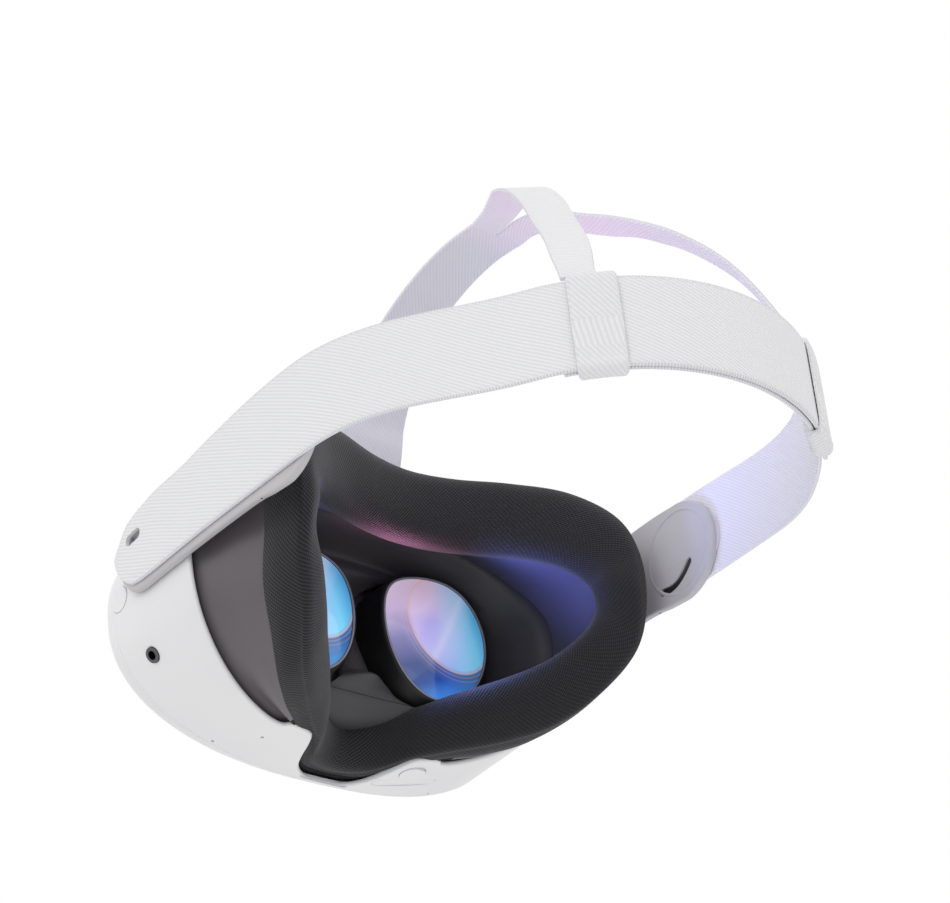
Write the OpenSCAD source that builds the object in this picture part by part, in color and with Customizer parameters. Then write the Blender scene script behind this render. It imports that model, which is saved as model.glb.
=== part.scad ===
// Standalone VR headset: visor, sliding optics, face interface, two-arm headband,
// over-head strap with a fork, and the two sliders that the fork hangs on.
// X = wearer's right, Y = forward, Z = up. Origin midway between the two lens faces.

/* [Visor] */
// Half width of the visor shell
shell_a = 87.0; // [84:0.5:87.2]
// Half height of the visor shell
shell_b = 49.8; // [47:0.5:52]
// Squareness exponent of the visor outline
shell_n = 2.35; // [2.1:0.05:2.6]
// Wall thickness of the visor shell
shell_wall = 2.2; // [1.6:0.1:2.6]
// Front of the visor
front_y = 55.5; // [55:0.5:56]
// Joint plane between the shell and the front cover
cover_y = 38; // [37:0.5:39]
// Rear edge of the shell on the centre line
edge_y = 16.9; // [15:0.5:19]
// How far the rear edge drops back at the sides
edge_drop = 28.4; // [24:0.5:32]

/* [Optics] */
// Distance between the two lens centres at rest
ipd = 62.8; // [61:0.2:64]
// Pitch radius of the spacing pinion
pinion_r = 3.0; // [3.0:0.1:3.0]
// Teeth on the spacing pinion
pinion_z = 10; // [10:1:10]

/* [Headband] */
// Inner radius of the outer strap layer round the back of the head
band_r = 75.2; // [75.2:0.1:75.6]
// Strap thickness
strap_t = 1.6; // [1.2:0.1:1.7]
// Strap width
strap_w = 35.6; // [34:0.2:35.8]
// Centre of the rear arc of the band
band_y = -138; // [-138:0.5:-138]
// Height of the middle of the rear strap
band_z = 0; // [-1:0.1:1]
// Angle of each slider from the middle of the back
slider_deg = 39; // [38:0.5:40]

/* [Pivot] */
// Arm pivot, forward position
pivot_y = 2; // [2:0.5:2]
// Arm pivot, height
pivot_z = 14; // [14:0.5:14]

/* [Hidden] */
$fn = 48;

white = [0.93, 0.93, 0.93]; cloth = [0.9, 0.9, 0.92]; lilac = [0.84, 0.83, 0.9];
grey = [0.3, 0.29, 0.31]; dark = [0.16, 0.155, 0.17]; black = [0.06, 0.06, 0.065];

function sp(v, e) = sign(v) * pow(abs(v), e);
function outline(a, b, n = shell_n, k = 88) =
  [for (i = [0:k-1]) let (t = 360*(i+0.5)/k) [a*sp(cos(t), 2/n), b*sp(sin(t), 2/n)]];
function edge(x) = edge_y - edge_drop*pow(x/87.35, 2);
edge_R = (87.35*87.35 + edge_drop*edge_drop)/(2*edge_drop);

// prism along Y of an XZ outline
module prism(pts, y0, y1) { translate([0, y1, 0]) rotate([90, 0, 0]) linear_extrude(y1 - y0) polygon(pts); }
module ring(ao, bo, ai, bi, y0, y1) { difference() { prism(outline(ao, bo), y0, y1); prism(outline(ai, bi), y0-1, y1+1); } }
module cyl_y(x, z, r, y0, y1) { translate([x, y1, z]) rotate([90, 0, 0]) cylinder(r = r, h = y1 - y0); }
module cyl_x(y, z, r, x0, x1) { translate([x0, y, z]) rotate([0, 90, 0]) cylinder(r = r, h = x1 - x0); }
module box(a, b) { translate(a) cube([for (i = [0:2]) b[i] - a[i]]); }
// pill-shaped prism along Y
module pill(x, z, w, h, y0, y1) {
  cyl_y(x, z + (h-w)/2, w/2, y0, y1); cyl_y(x, z - (h-w)/2, w/2, y0, y1);
  box([x - w/2, y0, z - (h-w)/2], [x + w/2, y1, z + (h-w)/2]);
}
// closed loft through rings of equal point count; loop = last ring joins the first
module loft(rings, loop = false) {
  n = len(rings[0]); m = len(rings);
  pts = [for (r = rings) each r];
  side = [for (j = [0:(loop ? m-1 : m-2)]) for (i = [0:n-1]) let (a = j*n + i, b = j*n + (i+1)%n, c = ((j+1)%m)*n + i, d = ((j+1)%m)*n + (i+1)%n)
    each [[a, b, d], [a, d, c]]];
  caps = loop ? [] : [[for (i = [n-1:-1:0]) i], [for (i = [0:n-1]) (m-1)*n + i]];
  polyhedron(points = pts, faces = concat(side, caps), convexity = 8);
}
module both() { children(); mirror([1, 0, 0]) children(); }

// ---------------------------------------------------------------- visor shells
// nose cut-out in plan: forward of the rear edge, both sides of the centre line
module nose_cut() {
  translate([0, 0, -70]) linear_extrude(45) polygon([[-26, 2], [-24, 15], [-20, 24], [-16, 31], [-9, 36], [0, 37.5], [9, 36], [16, 31], [20, 24], [24, 15], [26, 2]]);
}
module rear_cut(dy = 0) { translate([0, edge_y - edge_R + dy, -80]) cylinder(r = edge_R, h = 160, $fn = 180); }

jack_a = 34; jack_p = [-80.9, 23.4, -22.7];
module jack_frame() { translate(jack_p) rotate([0, -90 - jack_a, 0]) children(); } // local +Z points out of the socket
rock_p = [30, 27, -46.2]; rock_a = -12;
dial_p = [28, 18.8]; // spacing dial, X and Y
mic_p = [[-48.5, 36.3], [-37, 21.5], [48.5, 36.3]];

module outer_shell() color(white) {
  // rear tab under the strap anchor
  box([-15, 3, 48], [15, 18, 49.8]);
  difference() {
    union() {
      difference() {
        prism(outline(shell_a, shell_b), -14, cover_y);
        prism(outline(shell_a - shell_wall, shell_b - shell_wall), -15, cover_y + 1);
      }
      ring(shell_a - 1, shell_b - 1, 74, 37, 32, 34);
      // pivot bosses
      both() cyl_x(pivot_y, pivot_z, 6, 84.3, 86.5);
    }
    rear_cut();
    nose_cut();
    // room for the face interface's lip inside the nose cut-out
    translate([0, 0, -47.4]) linear_extrude(22) offset(r = 3) polygon([[-27, 2], [-24, 15], [-20, 24], [-16, 31], [-9, 36], [0, 37.5], [9, 36], [16, 31], [20, 24], [24, 15], [27, 2]]);
    both() cyl_x(pivot_y, pivot_z, 3.0, 70, 95);
    for (x = [-60, 60]) for (z = [-29, 29]) cyl_y(x, z, 1.05, 31, 35);
    // intake slots in the top wall
    for (i = [-4:4]) box([i*9 - 3, 20, 40], [i*9 + 3, 22.4, 60]);
    // audio jack seat
    jack_frame() translate([0, 0, -16]) cylinder(r = 3.0, h = 30);
    // power button
    cyl_x(33.6, 3.8, 5.1, -95, -78);
    // volume rocker slot
    translate([rock_p[0], rock_p[1], -60]) rotate([0, 0, rock_a]) { box([-11, -2.4, 0], [11, 2.4, 24]); translate([-11, 0, 0]) cylinder(r = 2.4, h = 24); translate([11, 0, 0]) cylinder(r = 2.4, h = 24); }
    // spacing dial window
    translate([dial_p[0], dial_p[1], -60]) cylinder(r = 5.2, h = 24);
    for (p = mic_p) translate([p[0], p[1], -60]) cylinder(r = 0.6, h = 30);
  }
}

COVER = [[0, 87, 49.6], [0.4, 87, 49.6], [5, 86.2, 47], [9, 83.2, 44.6], [13, 78, 41], [16, 70, 36.5], [17.5, 58, 29]];
module cover_body(d) {
  hull() for (k = COVER) prism(outline(k[1] - d, k[2] - d), cover_y + min(k[0], front_y - cover_y - 0.2 - d), cover_y + min(k[0], front_y - cover_y - 0.2 - d) + 0.2);
}
win = [[-44, 0], [0, 0], [44, 0]];
module front_cover() color(white) {
  difference() {
    cover_body(0);
    difference() { cover_body(2.2); }
    prism(outline(shell_a - 2.2, shell_b - 2.2), cover_y - 1, cover_y + 1);
    cyl_x(33.6, 3.8, 5.15, -90, -80);
    for (w = win) pill(w[0], w[1], w[0] == 0 ? 17 : 21, w[0] == 0 ? 46 : 52, 46, 60);
    
  }
}
module window(x, w, h) color(black) { intersection() { pill(x, 0, w - 0.4, h - 0.4, 49.4, 60); cover_body(0.3); } }
module camera_window_left() window(-44, 21, 52);
module camera_window_right() window(44, 21, 52);
module depth_window() window(0, 17, 46);
module camera(x, z, r) color(black) {
  box([x - r - 1, 38.4, z - r - 1], [x + r + 1, 42, z + r + 1]);
  difference() { cyl_y(x, z, r, 42, 49.2); cyl_y(x, z, r - 1.2, 48, 50); }
  cyl_y(x, z, r - 1.5, 47, 48.6);
}
module colour_camera_left() camera(-44, 12, 6);
module colour_camera_right() camera(44, 12, 6);
module tracking_camera_left() camera(-44, -12, 5);
module tracking_camera_right() camera(44, -12, 5);
module depth_projector() color(black) { box([-6, 40, -14], [6, 46, 14]); cyl_y(0, 7, 4, 46, 49); cyl_y(0, -7, 4, 46, 49); }

// ---------------------------------------------------------------- inside the visor
post_p = [[-20, 28], [20, 28], [-47, -24], [47, -24]]; // board posts
module chassis() color("silver") {
  difference() {
    union() {
      prism(outline(79.4, 42), 18.2, 20);
      for (x = [-60, 60]) for (z = [-29, 29]) cyl_y(x, z, 3, 20, 31.9);
      for (p = post_p) cyl_y(p[0], p[1], 2.5, 20, 35);
      // rod brackets
      for (x = [-58, 0, 58]) box([x - 2, 10, 30], [x + 2, 18.2, 34.7]);
      both() { box([56, 10, -34.7], [60, 18.2, -30]); box([36, 10, -36], [38.4, 18.2, -30]); }
    }
    for (x = [-60, 60]) for (z = [-29, 29]) cyl_y(x, z, 1.05, 24, 33);
    for (p = post_p) cyl_y(p[0], p[1], 0.9, 28, 36);
    both() box([12, 17, -18], [50, 21, 18]);
    // nose notch, spacing drive and audio socket
    translate([0, 0, -60]) linear_extrude(33) polygon([[-33, 2], [-31, 15], [-27, 24], [-20, 36], [0, 42], [20, 36], [27, 24], [31, 15], [33, 2]]);
    cyl_x(12.5, 33, 1.25, -62, 62);
    both() cyl_x(12.5, -33, 1.25, 35, 62);
    translate([dial_p[0], dial_p[1], -60]) cylinder(r = 4.6, h = 38);
    box([-41, 17, -29], [-26, 21, -22.5]);
    jack_frame() translate([0, 0, -15]) cylinder(r = 4.4, h = 22);
  }
}
module spacing_rods() color("lightgrey") { cyl_x(12.5, 33, 1.2, -60, 60); both() cyl_x(12.5, -33, 1.2, 36, 60); }
module main_board() color("darkgreen") {
  difference() {
    union() {
      prism(outline(70, 34), 35, 36);
      box([-20, 36, -14], [16, 37.4, 14]); box([24, 36, 6], [38, 37.2, 20]); box([24, 36, -18], [38, 37.2, -4]);
      box([-60, 36, -8], [-40, 38, 8]);
    }
    for (p = post_p) cyl_y(p[0], p[1], 1.0, 30, 40);
    translate([0, 0, -60]) linear_extrude(33) polygon([[-24, 20], [-20, 36], [-10, 41], [10, 41], [20, 36], [24, 20]]);
  }
}
module heat_spreader() color("peru") {
  box([-22, 37.4, -16], [20, 38.4, 16]);
  box([-14, 38.4, -13.5], [-8, 39.8, 26]);
}
module fan_housing() color(dark) {
  difference() {
    cyl_y(0, 8, 17, 22, 31);
    cyl_y(0, 8, 15.4, 23.2, 29.8);
    cyl_y(0, 8, 11, 29, 32);
    box([-12, 23.2, 12], [12, 29.8, 40]);
  }
  cyl_y(0, 8, 1.5, 23, 29);
}
module fan_rotor() color(black) {
  difference() {
    union() {
      cyl_y(0, 8, 6, 23.8, 29.4);
      for (i = [0:10]) translate([0, 0, 8]) rotate([0, i*360/11, 0]) rotate([0, 18, 0]) box([5.4, 24, -0.4], [14.4, 29.2, 0.4]);
    }
    cyl_y(0, 8, 1.56, 23, 30);
  }
}
module battery_pack() color("dimgray") { box([-64, 21.5, -13], [-27, 30.5, 20]); box([-27, 24, -10], [-25, 28, 0]); }
module audio_jack() color("silver") {
  jack_frame() difference() {
    union() { translate([0, 0, -14]) cylinder(r = 2.95, h = 14.6); translate([0, 0, -14]) cylinder(r = 3.8, h = 11); }
    translate([0, 0, -13]) cylinder(r = 1.75, h = 15);
  }
}
module microphones() color(dark) { for (p = mic_p) translate([p[0], p[1], -40.1]) { box([-2, -1.5, 0], [2, 1.5, 1.6]); } }
module proximity_sensor() color(black) { cyl_y(0, 22, 2, 16.3, 18.2); }
module pivot_pins() color("silver") both() { cyl_x(pivot_y, pivot_z, 2.98, 84.6, 89.6); cyl_x(pivot_y, pivot_z, 4.4, 89.6, 90.3); }
module top_strap_anchor() color(white) {
  difference() {
    box([-16.6, 0, 49.8], [16.6, 9, 53.6]);
    box([-14.9, 1.7, 50.3], [14.9, 5.4, 60]);
  }
}
module chassis_screws() color("silver") for (x = [-60, 60]) for (z = [-29, 29]) { cyl_y(x, z, 1.0, 25, 34.2); cyl_y(x, z, 1.9, 34.05, 35.4); }
module board_screws() color("silver") for (p = post_p) { cyl_y(p[0], p[1], 0.85, 29, 36.4); cyl_y(p[0], p[1], 1.8, 36.05, 37.3); }

// eye panel: plate with two lens openings and an arch over the nose
function lens_out(g) = [for (p = [[-20.6, 12.3], [-21, 2], [-18, -14], [-13.6, -22.5], [-8, -25.8], [1.3, -26.5], [11, -23], [19, -14.5], [22.9, -5], [23.4, 4], [20.6, 14], [13.8, 21.6], [5, 25.4], [-1.3, 26], [-10, 24], [-17, 19]]) [p[0]*(1 + g/22), p[1]*(1 + g/26)]];
module lens_prism(sx, g, y0, y1) { translate([sx*ipd/2, 0, 0]) prism([for (p = lens_out(g)) [sx*p[0], p[1]]], y0, y1); }
module eye_panel() color(grey) {
  difference() {
    prism(outline(78.5, 42), 4.2, 5.8);
    for (s = [-1, 1]) hull() for (d = [-4.6, 4.6]) translate([d, 0, 0]) lens_prism(s, 3.4, 3, 9);
    box([-37, 3, -60], [37, 9, -26]);
    cyl_y(0, 22, 3.1, 3, 9);
  }
  // flange over the nose
  box([-9, 4.2, -26], [9, 13, -24.6]);
}

// ---------------------------------------------------------------- optics and spacing drive
module barrel(s) color(black) {
  difference() {
    lens_prism(s, 1.5, -1, 14);
    lens_prism(s, 0.1, -2, 12.8);
    lens_prism(s, -4, 12, 15);
  }
  // rod eyes: a long one above, a short one low and outboard
  difference() {
    union() {
      cyl_x(12.5, 33, 2.4, s*ipd/2 - 7, s*ipd/2 + 7);
      box([s*ipd/2 - 3, 10.6, 25], [s*ipd/2 + 3, 13.8, 33]);
      translate([s*(ipd/2 + 12.6), 0, 0]) { cyl_x(12.5, -33, 2.4, -3, 3); box([-2, 10.6, -33], [2, 13.8, -18]); }
    }
    cyl_x(12.5, 33, 1.26, s*ipd/2 - 8, s*ipd/2 + 8);
    cyl_x(12.5, -33, 1.26, s*(ipd/2 + 12.6) - 4, s*(ipd/2 + 12.6) + 4);
    lens_prism(s, 0.1, -2, 12.8);
    lens_prism(s, -4, 12, 15);
  }
}
module left_barrel() barrel(-1);
module right_barrel() barrel(1);
module lens(s) color("lavender") { lens_prism(s, -0.1, 1, 6); hull() { lens_prism(s, -0.1, 1, 1.2); lens_prism(s, -6, -1.4, -1.2); } }
module left_lens() lens(-1);
module right_lens() lens(1);
module display(s) color("darkslategray") { translate([s*ipd/2, 0, 0]) box([-15, 14.1, -16], [15, 17.4, 16]); }
module left_display() display(-1);
module right_display() display(1);
pitch = PI*2*pinion_r/pinion_z;
k = pinion_r/4; // tooth size against a 4 mm pitch radius
root = 4.8*k;    // pinion axis to the racks' root line
rack_z = -27.4;
module tooth_row(n) { for (i = [-n:n]) translate([i*pitch, 0, 0]) linear_extrude(3) polygon([[-0.62*k, -0.05], [-0.3*k, 1.35*k], [0.3*k, 1.35*k], [0.62*k, -0.05]]); }
// the two racks lie on opposite sides of the pinion
module right_rack() color(dark) translate([0, 0, rack_z]) {
  box([20, 14, 0], [44, dial_p[1] - root, 3]);
  translate([dial_p[0], dial_p[1] - root, 0]) tooth_row(3);
}
module left_rack() color(dark) translate([0, 0, rack_z]) {
  box([-36, dial_p[1] + root, 0], [35, dial_p[1] + root + 1.3, 3]);
  translate([dial_p[0], dial_p[1] + root, 0]) rotate([0, 0, 180]) tooth_row(3);
  box([-34.5, 14, 0], [-31, dial_p[1] + root + 0.1, 3]);
}
module spacing_dial() color(white) translate([dial_p[0], dial_p[1], 0]) {
  difference() {
    union() {
      translate([0, 0, -49.2]) cylinder(r = 4.9, h = 2.6);
      translate([0, 0, -46.7]) cylinder(r = 1.5, h = 19.4);
    }
    for (i = [0:23]) rotate([0, 0, i*15]) translate([4.95, 0, -50]) cylinder(r = 0.25, h = 6, $fn = 6);
  }
  color(dark) translate([0, 0, rack_z]) {
    cylinder(r = 2.75*k, h = 3);
    for (i = [0:pinion_z-1]) rotate([0, 0, i*360/pinion_z]) linear_extrude(3) polygon([[2.4*k, -0.72*k], [4.1*k, -0.4*k], [4.75*k, -0.16*k], [4.75*k, 0.16*k], [4.1*k, 0.4*k], [2.4*k, 0.72*k]]);
  }
}

// ---------------------------------------------------------------- face interface
// stations round half of the interface from the nose over the cheek and temple to the brow:
// [outer edge of the cushion], [inner edge of the cushion], forward offset of the cloth seam
ST = [
  [[0, 34, -45], [0, 26, -31], 1.5], [[12, 29, -45.5], [11, 19, -31], 2], [[20, 15, -46], [21, 4, -31], 3],
  [[32, 1, -46.5], [31, -12, -30], 4.5], [[44, -13.5, -46.5], [42, -27, -27], 8], [[56, -29, -44.5], [51, -40, -24], 13],
  [[67, -46, -37.5], [58.5, -48.5, -17], 17], [[76, -59, -24], [64.5, -51.2, -8], 20], [[78.6, -66, -5], [65.5, -52, 0], 20],
  [[78, -66, 15], [63.5, -49.5, 8], 19], [[72, -62, 31], [56, -45, 14], 17], [[58, -52, 43], [44, -38, 18], 15],
  [[38, -42, 47], [30, -30, 20], 13], [[18, -34, 47.5], [14, -26, 20], 12], [[0, -31, 47.5], [0, -25, 20], 12]];
function mir(s) = [[-s[0][0], s[0][1], s[0][2]], [-s[1][0], s[1][1], s[1][2]], s[2]];
RING = concat(ST, [for (i = [13:-1:1]) mir(ST[i])]);
NR = len(RING);
function cr(a, b, c, d, t) = 0.5*((2*b) + (c - a)*t + (2*a - 5*b + 4*c - d)*t*t + (3*b - a - 3*c + d)*t*t*t);
function at(i, k, t) = cr(RING[(i+NR-1)%NR][k], RING[i%NR][k], RING[(i+1)%NR][k], RING[(i+2)%NR][k], t);
SUB = 2;
FINE = [for (i = [0:NR-1]) for (j = [0:SUB-1]) [at(i, 0, j/SUB), at(i, 1, j/SUB), at(i, 2, j/SUB)]];
function unit(v) = v/norm(v);
// cushion section: width from outer to inner edge, rounded to the rear, flat to the front
function fsec(s) = let (O = s[0], I = s[1], w = I - O, c = (O + I)/2, ex = unit(w), bk = unit([0, -1, 0] - ex*(ex*[0, -1, 0])), h = norm(w)/2)
  [for (p = [[-1, 0.2], [-0.86, 0.62], [-0.5, 0.95], [0, 1.05], [0.5, 0.95], [0.86, 0.62], [1, 0.2], [1, -0.4], [0.7, -0.8], [-0.6, -0.7], [-1, -0.1]]) c + ex*h*p[0] + bk*7*p[1]];
module foam_cushion() color(dark) loft([for (s = FINE) fsec(s)], true);
// skirt ring point for a station: on the shell's inner outline, same direction as the station
function skirt(s, a, b, dy) = let (x = s[0][0], z = s[0][2], q = pow(pow(abs(x)/a, shell_n) + pow(abs(z)/b, shell_n), -1/shell_n))
  [x*q, min(36.8, edge(x*q) + dy + (z < 0 && abs(x*q) < 27 ? 21*pow(cos(min(90, abs(x*q)*90/27)), 1.2) : 0)), z*q];
function seam(s, g) = let (O = s[0], d = unit([O[0], 0, O[2]])) [O[0], min(36.9, O[1] + max(s[2], 3.6)), O[2]] - d*g;
module interface_frame() color(grey) difference() {
  loft([for (s = FINE)
    [skirt(s, 83.8, 46.6, 5), skirt(s, 83.0, 45.8, -3), seam(s, -0.4), seam(s, 0.4) - [0, 1.2, 0], seam(s, 2.2) - [0, 1.2, 0], seam(s, 2.2), skirt(s, 81.6, 44.4, -3), skirt(s, 82.0, 44.8, 5)]], true);
  // notch round the spacing dial and its shaft, open to the front
  box([21.5, 12.6, -60], [34.5, 60, -30]);
}
// inner panel, open at the nose
LFINE = [for (i = [4*SUB:(NR - 4)*SUB]) FINE[i]];
module interface_liner() color([0.25, 0.23, 0.4]) loft([for (s = LFINE) let (O = s[0], I = s[1], m = I + (O - I)*0.12, y0 = max(I[1], O[1]) + 8)
  [[m[0], y0, m[2]], [m[0] + (O[0]-I[0])*0.5, y0 + 3, m[2] + (O[2]-I[2])*0.5], [m[0] + (O[0]-I[0])*0.5, y0 + 4.2, m[2] + (O[2]-I[2])*0.5], [m[0]*0.98, y0 + 1.2, m[2]*0.98]]]);
module latch(s) color(black) box([s > 0 ? 76 : -78.6, -14, -5.5], [s > 0 ? 78.6 : -76, -6, 5.5]);
module depth_latch_left() latch(-1);
module depth_latch_right() latch(1);

// ---------------------------------------------------------------- headband
arm_x0 = 87.4; arm_x1 = 90.5;
// side view of the arm, Y and Z
ARM = concat([[17.6, -1.6], [24, 3], [27.2, 9], [27.8, 15], [25.4, 19.6], [22.2, 23.4], [19, 26.2], [14.5, 28.4], [9, 30], [0, 31.2], [-18, 31.8], [-32, 33], [-62, 33.2], [-76.8, 32.2]],
  [for (i = [1:17]) let (t = 90 + 180*i/18) [-76.8 + 19.8*cos(t), 12.4 + 19.8*sin(t)]], [[-76.8, -7.4], [-58, -6.2], [-30, -5], [0, -3.4]]);
module side(x0, x1, pts) { translate([x0, 0, 0]) rotate([90, 0, 90]) linear_extrude(x1 - x0) polygon(pts); }
module speaker_slot(x0, x1) { for (i = [0:3]) hull() for (j = [i, i+1]) cyl_x(-65.8 - j*4, 0.6 - 1.4*sin(j*45) + j*j*0.31, 1.6, x0, x1, $fn = 24); }
module arm_r() {
  difference() {
    side(arm_x0, arm_x1, ARM);
    cyl_x(pivot_y, pivot_z, 3.04, 80, 95);
    cyl_x(pivot_y, pivot_z, 4.8, 89.4, 95);
    // tongue seat on the outer face, speaker pocket, slot
    side(89.3, 95, [[-55, -0.4], [-55, 25.2], [-120, 25.2], [-120, -0.4]]);
    box([88.6, -84, -5.4], [89.8, -60, -0.6]);
    speaker_slot(80, 89);
  }
}
module side_arm_right() color(lilac) arm_r();
module side_arm_left() color(lilac) difference() {
  mirror([1, 0, 0]) arm_r();
  box([-92, 10.6, 16.6], [-89.2, 19.4, 21.2]);
}
module usb_port() color("silver") difference() { box([-90.45, 10.7, 16.7], [-89.25, 19.3, 21.1]); box([-91, 11.3, 17.5], [-89.6, 18.7, 20.3]); }
module speaker(s) color(black) { if (s > 0) box([88.9, -83.5, -5.2], [89.5, -60.5, -0.9]); else box([-89.5, -83.5, -5.2], [-88.9, -60.5, -0.9]); }
module speaker_left() speaker(-1);
module speaker_right() speaker(1);
module speaker_mesh(s) color(black) { intersection() { if (s > 0) speaker_slot(88.2, 88.55); else mirror([1, 0, 0]) speaker_slot(88.2, 88.55); cube(400, center = true); } }
module speaker_mesh_left() speaker_mesh(-1);
module speaker_mesh_right() speaker_mesh(1);

// strap path in plan, from the arm's front end to past the far slider: [x, y, centre z, half width]
function ease(t) = let (u = min(1, max(0, t))) u*u*(3 - 2*u);
function arm_lo(y) = y > 0 ? -0.3 + y*0.11 : y > -60 ? -0.3 + y*0.028 : -2 + (y + 60)*0.055;
function arm_hi(y) = y > 0 ? 31.6 - y*0.16 - (y > 14 ? (y - 14)*0.9 : 0) : y > -30 ? 31.6 - y*0.09 : 34.3;
arc_deg = 56;
// blend from the arm line to the rear arc
function side_pts(r0, rj) =
  let (p0 = [r0, -84], p1 = [rj*sin(arc_deg), band_y - rj*cos(arc_deg)], t0 = [0, -130], t1 = [-cos(arc_deg), -sin(arc_deg)]*95,
       z0 = (arm_lo(-80) + arm_hi(-80))/2, h0 = (arm_hi(-80) - arm_lo(-80))/2)
  concat(
  [for (y = [25:-5:-80]) [r0, y, (arm_lo(y) + arm_hi(y))/2, (arm_hi(y) - arm_lo(y))/2 - (y > 20 ? 2.4 : 0)]],
  [for (i = [0:15]) let (t = i/16, a = 2*t*t*t - 3*t*t + 1, b = t*t*t - 2*t*t + t, c = 3*t*t - 2*t*t*t, d = t*t*t - t*t, p = p0*a + t0*b + p1*c + t1*d)
    [p[0], p[1], z0 + (band_z - z0)*ease((i + 1)/17), h0 + (strap_w/2 - h0)*ease(i/6)]],
  [for (a = [arc_deg:-2:-(slider_deg + 10)]) [rj*sin(a), band_y - rj*cos(a), band_z, strap_w/2]]);
function strap_sec(p, q, t) = let (d = unit([q[0] - p[0], q[1] - p[1]]), n = [-d[1], d[0]])
  [for (c = [[0, -1], [t, -1], [t, 1], [0, 1]]) [p[0] - n[0]*c[0]*-1, p[1] - n[1]*c[0]*-1, p[2] + p[3]*c[1]]];
function band_rings(P) = [for (i = [0:len(P)-1]) strap_sec(P[i], i < len(P)-1 ? P[i+1] : 2*P[i] - P[i-1], strap_t)];
// outer layer: left arm round to the right slider; inner layer: right arm round to the left slider
module side_strap_left() color(cloth) mirror([1, 0, 0]) loft(band_rings(side_pts(arm_x1 + 0.1, band_r)));
module side_strap_right() color(cloth) loft(band_rings(side_pts(arm_x1 + 0.1, band_r - strap_t - 0.4)));
module tongue() { side(89.4, 90.1, concat([[-56, 0.4], [-56, 24.4]], [for (i = [0:18]) let (t = 90 + 180*i/18) [-86 + 12*cos(t), 12.4 + 12*sin(t)]])); }
module strap_tongue_right() color(lilac) tongue();
module strap_tongue_left() color(lilac) mirror([1, 0, 0]) tongue();

// slider: a cloth-covered loop round both strap layers, swept on the band's rear arc
sl_in = band_r - strap_t - 0.8; sl_out = band_r + strap_t + 0.4;
module slider(s) color(cloth) translate([0, band_y, band_z]) rotate([0, 0, -90 + s*slider_deg - 6.2]) rotate_extrude(angle = 12.4, $fn = 180)
  difference() {
    polygon([[sl_in - 1.2, -18.6], [sl_in - 0.2, -19.7], [sl_out + 0.4, -19.7], [sl_out + 1.7, -18.4], [sl_out + 1.9, 0], [sl_out + 1.7, 18.4], [sl_out + 0.4, 19.7], [sl_in - 0.2, 19.7], [sl_in - 1.2, 18.6]]);
    polygon([[sl_in, -18.1], [sl_out, -18.1], [sl_out, 18.1], [sl_in, 18.1]]);
  }
module slider_left() slider(-1);
module slider_right() slider(1);

// over-head strap on the centre plane: [y, z, half width]
TOP = [[3.6, 50.7, 14.5], [3.2, 54, 14.5], [-4, 58, 14.5], [-9, 63.5, 14.5], [-12, 71, 14.4], [-15, 80, 14.2], [-23, 91, 13.6], [-34, 101, 12.4], [-50, 109, 11.6], [-67, 113.4, 11.5], [-83, 114.6, 11.6], [-95, 113.6, 12]];
function top_sec(i) = let (p = TOP[i], a = TOP[max(0, i-1)], b = TOP[min(len(TOP)-1, i+1)], d = unit([b[0]-a[0], b[1]-a[1]]), n = [-d[1], d[0]]*0.8)
  [[-p[2], p[0] - n[0], p[1] - n[1]], [p[2], p[0] - n[0], p[1] - n[1]], [p[2], p[0] + n[0], p[1] + n[1]], [-p[2], p[0] + n[0], p[1] + n[1]]];
module top_strap() color(cloth) loft([for (i = [0:len(TOP)-1]) top_sec(i)]);
// fork branches: matching points on the outer and inner edges; the right one hangs lower
BL = [[[12, -98.6, 113], [0.5, -98.4, 113.2]], [[12, -105, 114.5], [0.6, -108, 113]], [[14, -112, 115.5], [1, -115, 113.5]], [[17, -118, 114], [3, -124, 113]], [[20, -127, 108], [7, -134, 108.5]], [[25, -137, 98], [11, -144, 100]],
  [[31, -149, 83], [17, -156, 86]], [[37, -160, 66.5], [24, -167, 71]], [[43, -171, 51], [32, -181, 50]], [[49, -180, 36], [39, -190, 36]], [[53, -186.4, 26], [43.6, -195, 24.5]], [[54, -188.6, 20.3], [44.6, -197.2, 20.3]]];
BR = [[[12, -98.6, 113], [0.5, -98.4, 113.2]], [[12, -106, 112.4], [0.6, -108, 112.8]], [[14, -114, 109.6], [2, -117, 111.4]], [[20, -125, 104], [7, -127, 107.6]], [[24, -134, 98.5], [11, -135.5, 102.6]], [[28, -144, 93], [15, -145, 97]],
  [[32, -151, 87.6], [21, -156, 89.2]], [[37, -159, 80.6], [26, -165, 81]], [[43, -168, 69.6], [32, -175, 69]], [[47.4, -175.4, 57.6], [37, -182.4, 56.5]], [[51, -181.6, 43], [41, -189.4, 41]], [[53.6, -186.6, 27], [43.8, -195, 26]], [[54.4, -188.6, 20.3], [45, -197.2, 20.3]]];
function br_sec(B, i) = let (N = B[i][0], F = B[i][1], t = unit((B[min(len(B)-1, i+1)][0] + B[min(len(B)-1, i+1)][1]) - (B[max(0, i-1)][0] + B[max(0, i-1)][1])), n = unit(cross(F - N, t))*0.8)
  [F + n, N + n, N - n, F - n];
module branch(B) { loft([for (i = [0:len(B)-1]) br_sec(B, i)]); }
module branch_right() color(cloth) branch(BR);
module branch_left() color(cloth) mirror([1, 0, 0]) branch(BL);

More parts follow.
